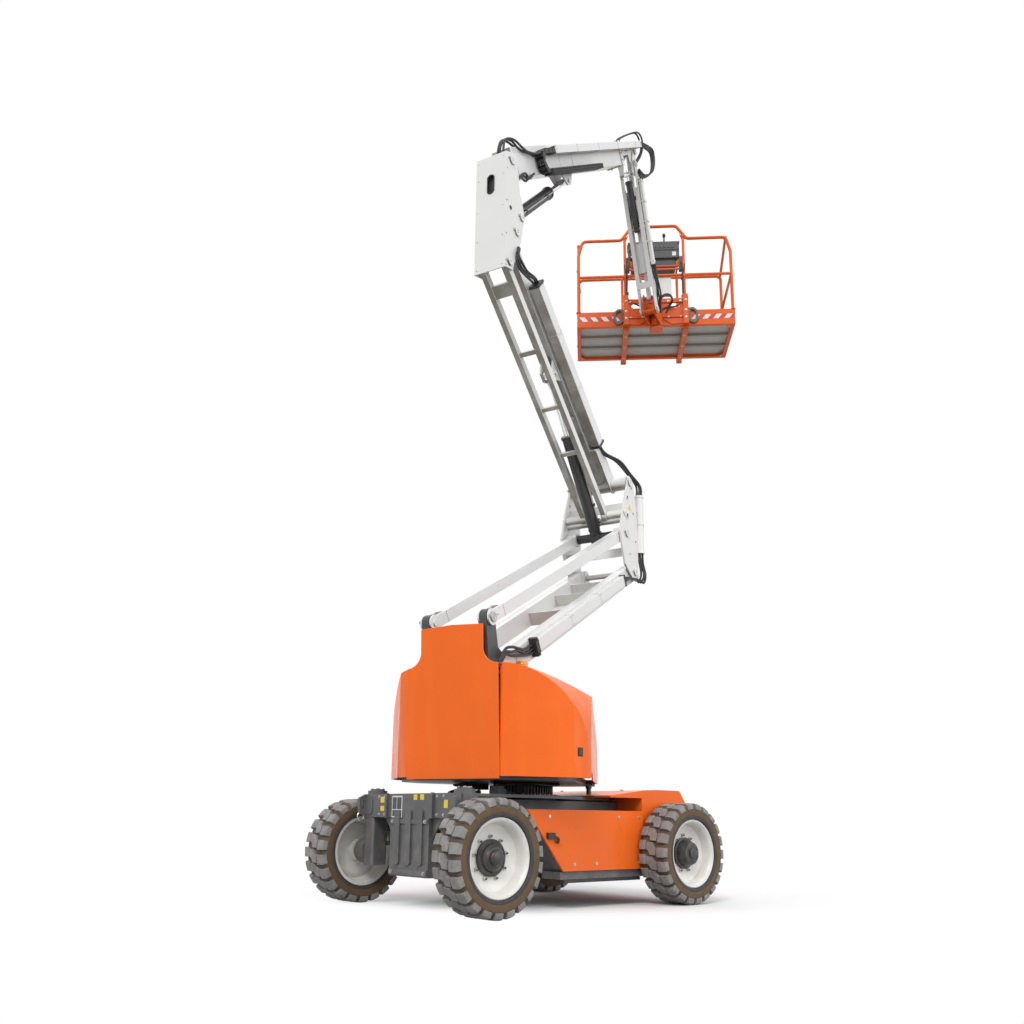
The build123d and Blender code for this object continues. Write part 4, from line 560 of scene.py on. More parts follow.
# ---------------------------------------------------------------- tyres
def turned_skin(k, direction, profile, mat, start=0):
    """A turned surface without the caps of spin."""
    before = len(k.faces)
    k.spin((0, start, 0), direction, profile, 96, mat)
    k.faces[before:] = [f for f in k.faces[before:] if len(f) == 4]
    del k.mats[len(k.faces):]


def swept_round(k, outlines):
    """A solid through outlines of (angle, y, radius) round the axle."""
    k.loft([[(r * math.sin(a), y, r * math.cos(a)) for a, y, r in outline] for outline in outlines])


TYRE_SKINS = (([(0, 343), (40, 343), (86, 342), (106, 337), (116, 326), (119, 318)], 1),
              ([(119, 318), (122.5, 315), (124, 300), (123.4, 284), (122, 274), (119.5, 272)], 2),
              ([(119.5, 272), (122.5, 268), (121, 254), (116, 248.5), (104, 246)], 3))
SHOULDER = ((50, 340), (50, 361), (56, 364.5), (104, 363.5), (119, 353), (124.4, 334), (124.6, 319),
            (112, 318), (100, 336))
MIDDLE_LUG = ((-0.47, -42), (0.02, -46), (0.17, -20), (0.43, -12), (0.47, 42), (-0.02, 46), (-0.17, 20),
              (-0.43, 12))


def tyre(name, turn):
    k = Mesh(Matrix.Scale(0.001, 4))
    for s in (1, -1):
        for profile, mat in TYRE_SKINS:
            turned_skin(k, (0, s, 0), profile, mat)
    turned_skin(k, Y, [(0, 246), (208, 246)], 3, -104)
    pitch = 2 * math.pi / LUG_COUNT
    for i in range(LUG_COUNT):
        for s in (1, -1):
            a = turn + pitch * (i + 0.25 * s)
            swept_round(k, [[(a + u * pitch, s * y, r) for y, r in SHOULDER]
                            for u in (-0.33, -0.11, 0.11, 0.33)])
        a = turn + pitch * i
        swept_round(k, [[(a + u * pitch, y, r) for u, y in MIDDLE_LUG] for r in (340.0, 364.0)])
    return k.object("tread_" + name, [M_LUG, M_TREAD, M_SIDE, M_BEAD], 2.6)


STEER_HUB = [(9, 113), (28.5, 113), (32, 108), (32, 88), (48, 82), (52, 76), (66, 64), (68, 52), (84, 50),
             (88, 46), (97, 43), (103, 30), (105, 0)]
DRIVE_HUB = [(9, 113), (30, 113), (33, 106), (33, 96), (64, 92), (80, 80), (96, 78), (100, 70), (100, 40),
             (110, 38), (113, 30), (113, 0)]
WHEELS = (("steer_left", -1, 1), ("steer_right", -1, -1), ("drive_left", 1, 1), ("drive_right", 1, -1))
for name, end, side in WHEELS:
    centre, out = (end * AXLE_X, side * TRACK_HALF, WHEEL_R), (0, side, 0)
    o = tyre(name, 0.07 * end + 0.11 * side)
    o.location = at(CHASSIS, *centre)
    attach(o, "wheel_" + name)
    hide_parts("tyre_" + name)

    def on_dish(x, z, depth):
        return (centre[0] + x, centre[1] + side * depth, centre[2] + z)

    k = Mesh(CHASSIS)
    if end < 0:
        k.spin(centre, out, STEER_HUB, 40)
        k.ring(centre, out, 26, 34, 104, 98, 40)
    else:
        k.spin(centre, out, DRIVE_HUB, 40)
        for x, z in circle(12, 86):
            k.block(on_dish(x - 9, z - 9, 34), on_dish(x + 9, z + 9, 62))
    for x, z in circle(6, 98 if end < 0 else 56, math.pi / 6):
        k.bolt(on_dish(x, z, 31 if end < 0 else 99), out, 6)
    put(k, "hub_" + name, "wheel_" + name, [M_BLACK], 1.5)
    # wheel nuts and the valve
    k = Mesh(CHASSIS)
    for i, (x, z) in enumerate(circle(9, 131, 0.2)):
        k.disc(on_dish(x, z, 9), out, 15, 3, 20, 0, 0.8)
        k.spin(on_dish(x, z, 9), out, [(2, 11.5), (13, 11.5), (15, 9)], 6, 0, 2 * math.pi * i / 9 + 0.2)
        k.disc(on_dish(x, z, 23), out, 6.5, 9, 14, 1)
    x, z = circle(1, 176, 2.4)[0]
    k.disc(on_dish(x, z, 2), out, 7, 12, 16, 1)
    k.disc(on_dish(x, z, 13), out, 4.5, 22, 14, 0)
    put(k, "wheel_nuts_" + name, "wheel_" + name, [M_ZINC, M_BLACK], 0.6)
    # rolled lip and step rings of the dish
    k = Mesh(CHASSIS)
    for depth, r, w in ((107, 239, 4.5), (74, 214, 3.0), (12, 170, 2.5)):
        k.spin(centre, out, [(depth + u, r + v) for u, v in circle(10, w)], 72, 0, 0, True)
    put(k, "rim_rings_" + name, "wheel_" + name, [M_RIM], 0)

# ---------------------------------------------------------------- pins with their heads, keepers and bolts
PINS = {
    "lower_links": (M_ZINC, ((LINK_FOOT, 290, 25),)),
    "lower_arm": (M_ZINC, ((ARM_FOOT, 290, 25),)),
    "mid_upright": (M_WHITE, ((ARM_TOP, 311, 25), (LINK_TOP, 311, 30), (ARM2_FOOT, 311, 30),
                              (LINK2_FOOT, 305, 20))),
    "top_upright": (M_WHITE, ((ARM2_TOP, 147, 25), (LINK2_TOP, 151, 22), (BOOM_FOOT, 147, 25),
                              (BOOM_CYL_FOOT, 147, 25))),
    "jib_knuckle": (M_ZINC, ((BOOM_TIP, 86, 22), (JIB_FOOT, 99, 22))),
    "bracket": (M_WHITE, ((JIB_TIP, 99, 22), (JIB_LINK_TIP, BRACKET_LAT, 22))),
}
for body, (metal, pins) in PINS.items():
    k = Mesh(TURRET)
    for (x, z), lat, r in pins:
        for s in SIDES:
            k.spin((x, s * lat, z), (0, s, 0), [(-2, r + 9), (5, r + 9), (6.5, r + 7), (6.5, r - 6),
                                                (4.5, r - 7), (4.5, 5), (9, 5), (10, 3), (10, 0)], 32)
            # keeper plate that stops the pin turning
            k.block((x - r - 30, s * (lat - 3), z - 9), (x - r + 8, s * (lat + 5), z + 9), 1)
            k.bolt((x - r - 20, s * (lat + 4), z), (0, s, 0), 5, 1)
    put(k, "pin_heads_" + body, body, [metal, M_ZINC], 0.6)

# ---------------------------------------------------------------- chassis
k = Mesh(CHASSIS)
for s in SIDES:
    k.disc((-AXLE_X, s * KINGPIN_LAT, 785), Z, 52, 12, 32)
    k.disc((-AXLE_X, s * KINGPIN_LAT, 796), Z, 14, 8, 16, 1)
    for x, y in circle(4, 40, math.pi / 4):
        k.bolt((-AXLE_X + x, s * KINGPIN_LAT + y, 796), Z, 6, 1)
    # stiffening pads pressed in the beam's face, and the tie-down ring
    k.prism([(s * 545, 620), (s * 470, 620), (s * 450, 640), (s * 450, 720), (s * 470, 740), (s * 545, 740)],
            -1026, -1018, "yz")
    for y in (300, 370):
        for z in (740, 620):
            k.bolt((-1020, s * y, z), (-1, 0, 0), 7, 1)
    k.tube([(-1052, s * 550, 640), (-1080, s * 550, 610), (-1060, s * 550, 575), (-1030, s * 550, 590),
            (-1035, s * 550, 630)], 7, 10, 1, closed=True)
    for z in (243, 574):
        k.bolt((-1030, s * 185, z), (-1, 0, 0), 8, 1)
    k.block((-1040, s * 262 - 8, 596), (-1020, s * 262 + 8, 764))
    # gusset ribs under the beam beside the bulkhead
    for x in (-990, -930):
        k.prism([(s * 222, 598), (s * 330, 598), (s * 222, 470)], x, x + 12, "yz")
# bars above and below the bulkhead
for z0, z1 in ((225, 262), (560, 588)):
    k.block((-1030, -215, z0), (-1016, 215, z1))
put(k, "beam_fittings", "chassis", [M_GREY, M_ZINC], 1.2)

k = Mesh(CHASSIS)
for y, z, w, h in ((330, 720, 46, 40), (330, 660, 46, 34), (-60, 735, 42, 36), (-135, 735, 42, 36),
                   (-395, 690, 40, 52)):
    k.block((-1021.2, y - w / 2, z - h / 2), (BEAM_X, y + w / 2, z + h / 2))
put(k, "yellow_stickers", "chassis", [M_YELLOW], 0)
k = Mesh(CHASSIS)
k.block((-1022, 90, 600), (BEAM_X, 210, 745))
for y0, y1, z0, z1 in ((98, 202, 608, 650), (98, 150, 656, 736), (156, 202, 656, 736)):
    k.block((-1023, y0, z0), (-1021, y1, z1), 1)
k.block((-1031.5, -20, 300), (-1029.5, 18, 350))
put(k, "blank_plate", "chassis", [M_LABEL, M_PANEL], 0.2)

# bollard, limit switch, cable run and screws on the deck
k = Mesh(CHASSIS)
k.spin((470, -250, 775), Z, [(0, 34), (8, 34), (10, 20), (52, 18), (58, 24), (78, 24), (84, 16), (86, 0)], 28)
k.block((-520, -330, 758), (-440, -240, 800))
k.block((-505, -318, 800), (-455, -252, 822))
k.tube([(-440, -285, 780), (-380, -290, 782), (-330, -300, 770), (-290, -330, 764)], 9)
k.tube([(-480, 240, 764), (-430, 300, 790), (-330, 320, 800), (-250, 280, 790), (-210, 230, 800)], 11)
k.tube([(-480, 270, 764), (-420, 330, 786), (-320, 345, 795), (-240, 300, 786), (-200, 235, 795)], 11)
for x, y in ((-600, -420), (-600, 420), (-300, -430), (-300, 430)):
    k.bolt((x, y, 760), Z, 11)
put(k, "deck_fittings", "chassis", [M_BLACK], 1.2)

# quarter-turn locks of the skirts and screws of the hood
k = Mesh(CHASSIS)
for s in SIDES:
    for x, z in ((-60, 300), (620, 300), (620, 620), (-300, 620), (160, 300), (400, 620)):
        k.disc((x, s * SKIRT_LAT, z), (0, s, 0), 12, 3.5, 24, 0, 1)
        k.block((x - 8, s * SKIRT_LAT, z - 1.6), (x + 8, s * (SKIRT_LAT + 5), z + 1.6))
    for z in (400, 520, 600):
        k.bolt((1270, s * 420, z), X, 8)
    k.disc((760, s * 330, 822), Z, 13, 8, 24)
put(k, "panel_locks", "chassis", [M_ZINC], 0.5)
# beads on the skirts, vent slats on the hood
k = Mesh(CHASSIS)
for s in SIDES:
    y = s * (SKIRT_LAT - 1)
    k.prism([(-440, 600), (-176, 268), (-166, 274), (-428, 604)], y - 1.5, y + 3.2, "xz")
    k.block((-440, y - 1.5, 612), (652, y + 2.6, 618))
for i in range(5):
    k.block((1268, -160, 360 + 38 * i), (1279, 160, 374 + 38 * i), 1)
k.block((1266, -190, 340), (1273, 190, 540))
put(k, "panel_beads", "chassis", [M_ORANGE, M_BLACK], 0.8)

# rubber clip on the skirt's slanting edge, sill step
k = Mesh(CHASSIS)
for s in SIDES:
    k.block((-330, s * 618, 470), (-262, s * 640, 512))
    k.tube([(-270, s * 632, 490), (-235, s * 640, 470), (-240, s * 632, 440)], 9)
    k.block((-150, s * 520, 176), (640, s * 604, 199))
put(k, "skirt_clips", "chassis", [M_PLASTIC], 2)

# steering hoses, and the ball ends of the rod
k = Mesh(CHASSIS)
for s in SIDES:
    k.tube([(-1000, s * 150, 470), (-960, s * 260, 500), (-930, s * 380, 520), (-915, s * 440, 470)], 8)
    k.tube([(-985, s * 130, 450), (-950, s * 250, 470), (-930, s * 370, 490), (-918, s * 430, 440)], 8)
put(k, "steer_hoses", "chassis", [M_RUBBER], 0)
k = Mesh(CHASSIS)
x, z = -AXLE_X + 125, WHEEL_R + 55
for s in SIDES:
    k.spin((x, s * 430, z), Z, [(-26, 20), (-22, 26), (22, 26), (26, 20)])
    k.spin((x, s * 395, z), (0, s, 0), [(0, 19), (20, 19), (24, 15), (30, 15)], 6)
put(k, "rod_ends", "steer_rod", [M_ZINC], 1)

# ---------------------------------------------------------------- slewing ring and its gearbox
k = Mesh(CHASSIS)
for x, y in circle(36, 258):
    k.bolt((x, y, 769), Z, 8)
k.ring((0, 0, 762), Z, 0, 12, 288, 246, 72, 1, (2, 4))
put(k, "ring_bolts", "chassis", [M_ZINC, M_GREY], 0.5)
k = Mesh(TURRET)
motor_x, motor_y = -60, 330
k.spin((motor_x, motor_y, 902), (0, 0, -1), [(0, 85), (48, 85), (52, 80), (52, 60), (90, 60), (92, 0)], 32)
k.disc((motor_x, motor_y, 902), Z, 75, 150, 32)
for x, y in circle(14, 62):
    k.block((motor_x + x - 6, motor_y + y - 6, 812), (motor_x + x + 6, motor_y + y + 6, 848))
put(k, "slew_gearbox", "turret", [M_CAST], 1)
k = Mesh(TURRET)
for r, y in ((9, -300), (9, -322), (7, -345), (9, 300), (7, 322)):
    k.tube([(-380, y * 0.5, 846), (-420, y, 838), (-300, y * 1.15, 832), (-180, y * 1.2, 840),
            (-120, y, 848)], r)
put(k, "belly_hoses", "turret", [M_RUBBER], 0)

# ---------------------------------------------------------------- turret: cowls and towers
k = Mesh(TURRET)
for s in SIDES:
    for h in (930, 1010):
        k.disc((530, s * 352, h), Z, 15, 46, 24)
put(k, "cowl_hinges", "turret", [M_BLACK], 1)
for s, name in ((1, "left"), (-1, "right")):
    # latch on the flank near the tail: a dark plate on a wider one
    k = Mesh(TURRET)
    p0, p1 = Vector((-620, s * 752, 0)), Vector((-520, s * 788, 0))
    middle, along = (p0 + p1) / 2, (p1 - p0).normalized()
    outward = Vector((-along.y * s, along.x * s, 0))
    for w, z0, z1, lift, mat in ((24, 1010, 1070, 3.0, 0), (17, 1017, 1063, 6.0, 1)):
        plan = [middle + along * u + outward * v for u, v in ((-w, -2), (w, -2), (w, lift), (-w, lift))]
        k.prism([(p.x, p.y) for p in plan], z0, z1, "xy", mat)
    put(k, "cowl_latch_" + name, "cowl_" + name, [M_PLASTIC, M_BLACK], 1.5)
k = Mesh(TURRET)
for s in SIDES:
    for h, lat in ((905, 330), (1250, 330), (1560, 330), (1830, 215)):
        x = -955 + (h - 854) * 50 / 1031
        k.disc((x + 1, s * lat, h), (-1, 0, 0), 13, 4, 24, 0, 1)
        k.spin((x - 3, s * lat, h), (-1, 0, 0), [(0, 8), (3, 8), (4, 6)], 6)
put(k, "tail_screws", "turret", [M_ORANGE], 0.4)

k = Mesh(TURRET)
for s in SIDES:
    for face in SIDES:
        lat = s * RAIL_LAT + face * 28
        for x, z in (LINK_FOOT, ARM_FOOT):
            k.ring((x, lat - face * 2, z), (0, face, 0), 0, 7, 48, 27, 36, 0, (2, 3))
        for x, h in ((-880, 1300), (-880, 1420), (-700, 1300), (-640, 1150), (-880, 1000), (-520, 1000),
                     (-300, 960)):
            k.bolt((x, lat, h), (0, face, 0), 9, 1)
    # foot gussets
    for x in (-820, -560, -200):
        k.prism([(s * 265, 899), (s * 325, 899), (s * 265, 985)], x - 5, x + 5, "yz")
put(k, "tower_bosses", "turret", [M_TOWER, M_ZINC], 1)

# strips behind the split lines of the tail
k = Mesh(TURRET)
for s in SIDES:
    k.block((-949, s * 366, 874), (-938, s * 375.2, 1596))
put(k, "seam_strips", "turret", [M_ORANGE], 0.8)

# warning lamp: ribbed lens, base and cap
k = Mesh(TURRET)
lamp = (-560, -315, 1600)
k.ring(lamp, Z, -6, 28, 50, 40, 36, 1, (4, 4))
for h in (36, 48, 60, 72):
    k.spin(lamp, Z, [(h - 5.5, 40), (h, 45 - 0.05 * h), (h + 5.5, 40), (h, 22)], 36, 0, 0, True)
k.spin(lamp, Z, [(76, 40), (82, 34), (86, 20), (87, 0)], 36)
put(k, "beacon_lens", "turret", [M_AMBER, M_BLACK], 0)

# batteries: lids, terminals, cables and the valve block with its cartridges
k = Mesh(TURRET)
for s in SIDES:
    y = s * BATTERY_LAT
    for i in range(4):
        x = -610 + 140 * i
        k.block((x - 62, y - 108, 1199), (x + 62, y + 108, 1216))
        for d in SIDES:
            k.disc((x + 40 * d, y + 85 * d, 1215), Z, 9, 16, 16, 1)
        for dx in (-30, 0, 30):
            k.disc((x + dx, y, 1215), Z, 11, 9, 20, 2)
        if i < 3:
            k.tube([(x + 40, y + 85, 1230), (x + 70, y + 20, 1248), (x + 100, y - 85, 1230)], 7, 10, 3)
    for i in range(5):
        x = -50 + 55 * i
        k.disc((x, s * 385, 1079), Z, 15, 34, 20, 1)
        k.disc((x, s * 385, 1112), Z, 11, 26, 20, 2)
        k.tube([(x, s * 325, 1000), (-60 + 50 * i, s * 270, 1010), (-120 + 40 * i, s * 280, 940)], 8, 10, 3)
put(k, "battery_tops", "turret", [M_BATTERY, M_ZINC, M_RED, M_RUBBER], 1.5)

# lifting eye and ribs of the tail weight
k = Mesh(TURRET)
for x in (-850, -760, -670):
    k.block((x - 8, -196, 1128), (x + 8, 196, 1142))
k.tube([(-760, -24, 1140), (-760, -24, 1166), (-760, 0, 1178), (-760, 24, 1166), (-760, 24, 1140)], 9, 12, 1)
put(k, "weight_ribs", "turret", [M_GREY, M_ZINC], 2)

# ---------------------------------------------------------------- riser: ducts, shafts, ladder, hoses
def rail_beads(k, ends, half_width):
    """Weld beads across both rails of a lower member near its ends."""
    for x in ends:
        for z in (s * RAIL_LAT + edge for s in SIDES for edge in (-46, 46)):
            k.bead((x, -half_width, z), (x, half_width, z))


def duct_lids(k, lids, y0, y1, top, screw_inset, screws):
    """Lids of a hose duct with open seams between them, and their screws."""
    for a, b in lids:
        k.block((a, y0, top - 3), (b, y1, top))
        for x in (a + screw_inset, b - screw_inset):
            for y in screws:
                k.disc((x, y, top), Z, 5, 3, 12, 1)


k = Mesh(ARM)
duct_lids(k, ((452, 1078), (1083, 1696), (1701, 2298)), -34, 54, 327, 22, (-22, 42))
for x in (1080, 1698):
    k.block((x - 14, -39, 279), (x + 14, 59, 323))
rail_beads(k, (176, 2500), 72)
for s in SIDES:
    k.bead((1360, -66, s * 192), (2240, -66, s * 192))
    k.ring((LOWER_LENGTH, 0, s * RAIL_LAT - 50), Z, 0, 100, 60, 30)
put(k, "duct_lids_lower", "lower_arm", [M_WHITE, M_ZINC], 0.8)
k = Mesh(ARM)
for x in (452, 2280):
    k.block((x - 10, -42, 276), (x + 10, 62, 334))
k.block((405, -60, 276), (445, 80, 338))
for y in (64, -40):
    k.bolt((424, y, 338), Z, 7)
put(k, "duct_clamps_lower", "lower_arm", [M_PLASTIC], 2)

k = Mesh(TURRET)
x0, z0 = ARM_TOP
for h in (205, 480, 752):
    k.ring((x0 + 118, -UPRIGHT_LAT, z0 + h), Z, 0, 22, 46, 40)
for h in (300, 600):
    k.block((x0 + 58, -300, z0 + h), (x0 + 108, -290, z0 + h + 40))
# round cross tube and two webs between the plates
k.spin((x0 - 190, -287, z0 + 470), Y, [(0, 34), (574, 34)], 32)
for dx, h in ((-206, 110), (-150, 560)):
    k.block((x0 + dx, -287, z0 + h), (x0 + dx + 8, 287, z0 + h + 80))
for s in SIDES:
    for dx, h, r in ((-160, 680, 18), (-165, 500, 26)):
        k.ring((x0 + dx, s * 303, z0 + h), (0, s, 0), 0, 5, r + 7, r, 28, 0, (1, 2))
    for dx, h in ((-60, 800), (-30, 560), (20, 300), (-120, 150)):
        k.bolt((x0 + dx, s * UPRIGHT_LAT, z0 + h), (0, s, 0), 8, 1)
put(k, "upright_fittings", "mid_upright", [M_WHITE, M_ZINC], 1.2)
k = Mesh(TURRET)
for s in SIDES:
    k.prism([(x0 - 146, z0 + 572), (x0 - 78, z0 + 572), (x0 - 112, z0 + 634)], s * 304.6, s * 306.2, "xz")
put(k, "upright_stickers", "mid_upright", [M_YELLOW], 0)

k = Mesh(ARM2)
duct_lids(k, ((442, 1028), (1032, 1540), (1544, 2008)), -62, 52, 176, 20, (-48, 38))
for x in (1030, 1542):
    k.block((x - 16, -68, 92), (x + 16, 58, 174))
for x in (100, 2330):
    k.bead((x, -74, 71), (x, 74, 71))
for z in (-276, 262):
    k.ring((0, 0, z), Z, 0, 14, 68, 60, 36)
for x in (1150, 1364):
    for s in SIDES:
        k.bead((x, 70, s * 64), (x, 70, s * 48), 5)
put(k, "duct_lids_upper", "upper_arm", [M_WHITE, M_ZINC], 0.8)
k = Mesh(ARM2)
for x in (446, 2004):
    k.block((x - 12, -72, 90), (x + 12, 62, 182))
put(k, "duct_clamps_upper", "upper_arm", [M_PLASTIC], 2)

k = Mesh(LINK2)
for s in SIDES:
    for x in (0, UPPER_LENGTH):
        k.ring((x, 0, s * 105 - 26), Z, 0, 52, 50, 40)
    for x in (1670, 1710, 2200, 2310):
        k.bead((x, -12, s * 82), (x, 12, s * 82))
for x in (700, 1160):
    k.block((x - 18, -14, -83), (x + 18, 14, 83))
put(k, "ladder_fittings", "upper_link", [M_WHITE], 1)

k = Mesh(LINKS)
rail_beads(k, (172, 2520), 44)
for s in SIDES:
    k.ring((LOWER_LENGTH, 0, s * RAIL_LAT - 48), Z, 0, 96, 62, 52)
    k.disc((60, 0, s * 290), (0, 0, s), 7, 5, 12, 1)
put(k, "link_welds", "lower_links", [M_WHITE, M_ZINC], 0.8)

# lift cylinders: foot, eye, radius and length of the barrel, radius of the eye's pin, half width of the eye
CYLINDERS = {"riser": (LINK_TOP, RISER_EYE, 52, 995, 18, 35),
             "boom": (BOOM_CYL_FOOT, BOOM_EYE, 52, 1040, 18, 35),
             "jib": (JIB_CYL_FOOT, JIB_EYE, 34, 520, 16, 30)}
for name, (foot, eye, r, length, pin_r, eye_half) in CYLINDERS.items():
    # gland, foot ring, oil port with its pipe, and pipe clamps
    k = Mesh(member(foot, eye))
    k.spin((length, 0, 0), X, [(-26, r), (-24, r + 7), (0, r + 7), (3, r + 4), (3, r - 20)], 36)
    k.spin((r + 24, 0, 0), X, [(0, r), (2, r + 4), (18, r + 4), (20, r)], 36)
    k.block((110, -18, r - 8), (180, 18, r + 22))
    k.tube([(180, 0, r + 11), (240, 0, r + 11), (length - 90, 0, r + 11), (length - 60, 0, r + 4),
            (length - 52, 0, r - 6)], 7, 10, 1)
    for x in (320, length - 180):
        k.block((x - 12, -14, r - 4), (x + 12, 14, r + 21))
    for x in (128, 162):
        k.bolt((x, 0, r + 22), Z, 6, 1)
    put(k, name + "_barrel_fittings", name + "_barrel", [M_BLACK, M_ZINC], 1)
    k = Mesh(member(foot, eye))
    reach = math.dist(foot, eye)
    for s in SIDES:
        k.ring((reach, 0, s * (eye_half - 1)), (0, 0, s), 0, 3, pin_r + 12, pin_r, 28)
    k.disc((reach + 24, 0, 0), X, 5, 18, 12)
    put(k, name + "_rod_eye", name + "_rod", [M_ZINC], 0.8)

# sleeves of the black shaft at the link top
k = Mesh(TURRET)
for y in (-188, 52):
    k.spin((LINK_TOP[0], y, LINK_TOP[1]), Y, [(0, 40), (136, 40)], 32)
put(k, "shaft_sleeves", "mid_upright", [M_BLACK], 1)


def hoses(name, points, r, spread, count=3):
    """Parallel fitted hoses, clamped on both bodies; spread is their step in world mm."""
    k = Mesh(Matrix.Identity(4))
    line = [at(*p) for p in points]
    mid = (count - 1) / 2
    for i in range(count):
        wave = Vector(spread) * 0.001 * (i - mid)
        pts = []
        for j, p in enumerate(line):
            bow = 0.075 * abs(i - mid) * math.sin(math.pi * j / (len(line) - 1))
            pts.append(p + wave * (1.0 + bow + 0.4 * math.sin(2.1 * j + i)))
        k.tube(pts, r * 0.001, 12)
    o = k.object(name, [M_RUBBER], 0)
    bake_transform(o)


def by(pin, forward, lat, up):
    """A point of the turret's frame, measured from a pin; lat is to the left."""
    return (TURRET, pin[0] + forward, lat, pin[1] + up)


# each path is a list of (frame, x, y, z); start and end are the clamps
hoses("hoses_arm_foot",
      [(TURRET, -872, -285, 1480), (TURRET, -858, -300, 1620), (TURRET, -806, -318, 1708), (ARM, 60, 96, 324),
       (ARM, 150, 74, 322), (ARM, 240, 26, 314), (ARM, 340, 8, 305), (ARM, 450, 8, 303)], 10.5, (0, 0, 24))
hoses("hoses_upright_low",
      [(ARM, 2290, 10, 303), (ARM, 2400, 0, 310), (ARM, 2560, -60, 330), by(ARM_TOP, 60, -336, -85),
       by(ARM_TOP, 150, -330, 10), by(ARM_TOP, 135, -308, 120), by(ARM_TOP, 118, -UPRIGHT_LAT, 215)],
      10.5, -LEFT * 12 + FORWARD * 20)
hoses("hoses_upright_top",
      [by(ARM_TOP, 118, -UPRIGHT_LAT, 765), by(ARM_TOP, 124, -UPRIGHT_LAT, 880), (ARM2, 30, -130, 265),
       (ARM2, 180, -118, 215), (ARM2, 330, -40, 150), (ARM2, 460, -5, 134)],
      10.5, -LEFT * 14 + FORWARD * 14)
hoses("hoses_box_foot",
      [(ARM2, 1995, -5, 134), (TURRET, -150, -158, 4964), (TURRET, -285, -164, 4934),
       (TURRET, -380, -164, 4952), (TURRET, -424, -162, 5015), (TURRET, -405, -156, 5075),
       (TURRET, -380, -112, 5120), (TURRET, -400, -100, 5220)], 10.5, -LEFT * 8 + UP * 20)
hoses("hoses_boom_root",
      [(TURRET, -556, -70, 5790), (TURRET, -584, -72, 5940), (TURRET, -528, -76, 6066),
       (TURRET, -420, -82, 6130), (BOOM, 320, 104, 88), (BOOM, 430, 66, 100), (BOOM, 560, 40, 110),
       (BOOM, 720, 46, 122)], 10, LEFT * 24)
hoses("hoses_box_side",
      [(TURRET, -436, -100, 5590), (TURRET, -392, -110, 5690), (TURRET, -352, -114, 5800),
       (TURRET, -276, -116, 5876), (TURRET, -200, -114, 5900), (BOOM, 350, -140, 104),
       (BOOM, 430, -128, 100)], 10, -LEFT * 14 + UP * 12)
hoses("hoses_tip_outer",
      [(BOOM, 3440, 59, 132), (BOOM, 3540, 80, 136), (TURRET, 2530, -150, 8070), (TURRET, 2640, -160, 8085),
       (TURRET, 2694, -158, 7975), (TURRET, 2630, -142, 7810), (TURRET, 2490, -114, 7690),
       by(JIB_FOOT, 62, -98, -40)], 9.5, -LEFT * 6 + UP * 18 + FORWARD * 14, 4)
hoses("hoses_tip_over",
      [(BOOM, 3130, 100, 20), (BOOM, 3210, 160, 30), (TURRET, 2190, -88, 8050), (TURRET, 2350, -100, 8160),
       (TURRET, 2470, -100, 8150), (TURRET, 2500, -90, 8040), (TURRET, 2450, -60, 7900),
       by(JIB_FOOT, 66, -20, 20)], 9.5, -LEFT * 26, 2)
hoses("hoses_jib_top",
      [by(JIB_FOOT, 62, -98, -40), (JIB, 100, 40, 120), (JIB, 150, 20, 122), (JIB, 200, 10, 121)],
      9.5, -LEFT * 14, 2)
hoses("hoses_jib_foot",
      [(JIB, 1105, 10, 121), (TURRET, 2756, -126, 6610), (TURRET, 2812, -126, 6505),
       (TURRET, 2882, -112, 6430), (TURRET, 2950, -94, 6380), by(ROTATOR, -84, -72, 100),
       by(ROTATOR, -60, -56, 40)],
      9, -LEFT * 12 + FORWARD * 14)
hoses("hoses_rotator",
      [by(ROTATOR, -88, -70, 110), by(ROTATOR, -120, -120, 190), by(ROTATOR, -20, -160, 262),
       by(ROTATOR, 70, -176, 236), (PLATFORM, 66, -150, 170), (PLATFORM, 82, -120, 100)], 8, (0, 0, 18), 2)

# ---------------------------------------------------------------- top box
k = Mesh(TURRET)
x0, z0 = ARM2_TOP
k.prism([(x0 - 189, z0 - 413), (x0 - 63, z0 - 379), (x0 - 58, z0 - 362), (x0 - 189, z0 - 396)],
        -147, -140, "xz")
for s in SIDES:
    # dark ends of the cross pins, and dark caps on the three joint pins
    for dx, dz in ((-101, 615), (-108, 164), (69, 178), (-1, -1), (-132, -334)):
        k.disc((x0 + dx, s * 139, z0 + dz), (0, s, 0), 17, 7, 24, 2)
    for (x, z), r, edge, depth in ((BOOM_FOOT, 26, 1.5, 7.6), (BOOM_CYL_FOOT, 26, 1.5, 7.6),
                                   (LINK2_TOP, 27, 2, 11.4)):
        k.spin((x, s * (BOX_LAT + 0.2), z), (0, s, 0),
               [(0, r), (depth - 0.6, r), (depth, r - edge), (depth, 0)], 28, 2)
    for dx, dz in ((-170, -380), (-170, -100), (-170, 200), (-170, 500), (-60, 600), (-10, -180)):
        k.bolt((x0 + dx, s * BOX_LAT, z0 + dz), (0, s, 0), 6, 1)
put(k, "box_side_fittings", "top_upright", [M_WHITE, M_WHITE, M_BLACK], 0.8)
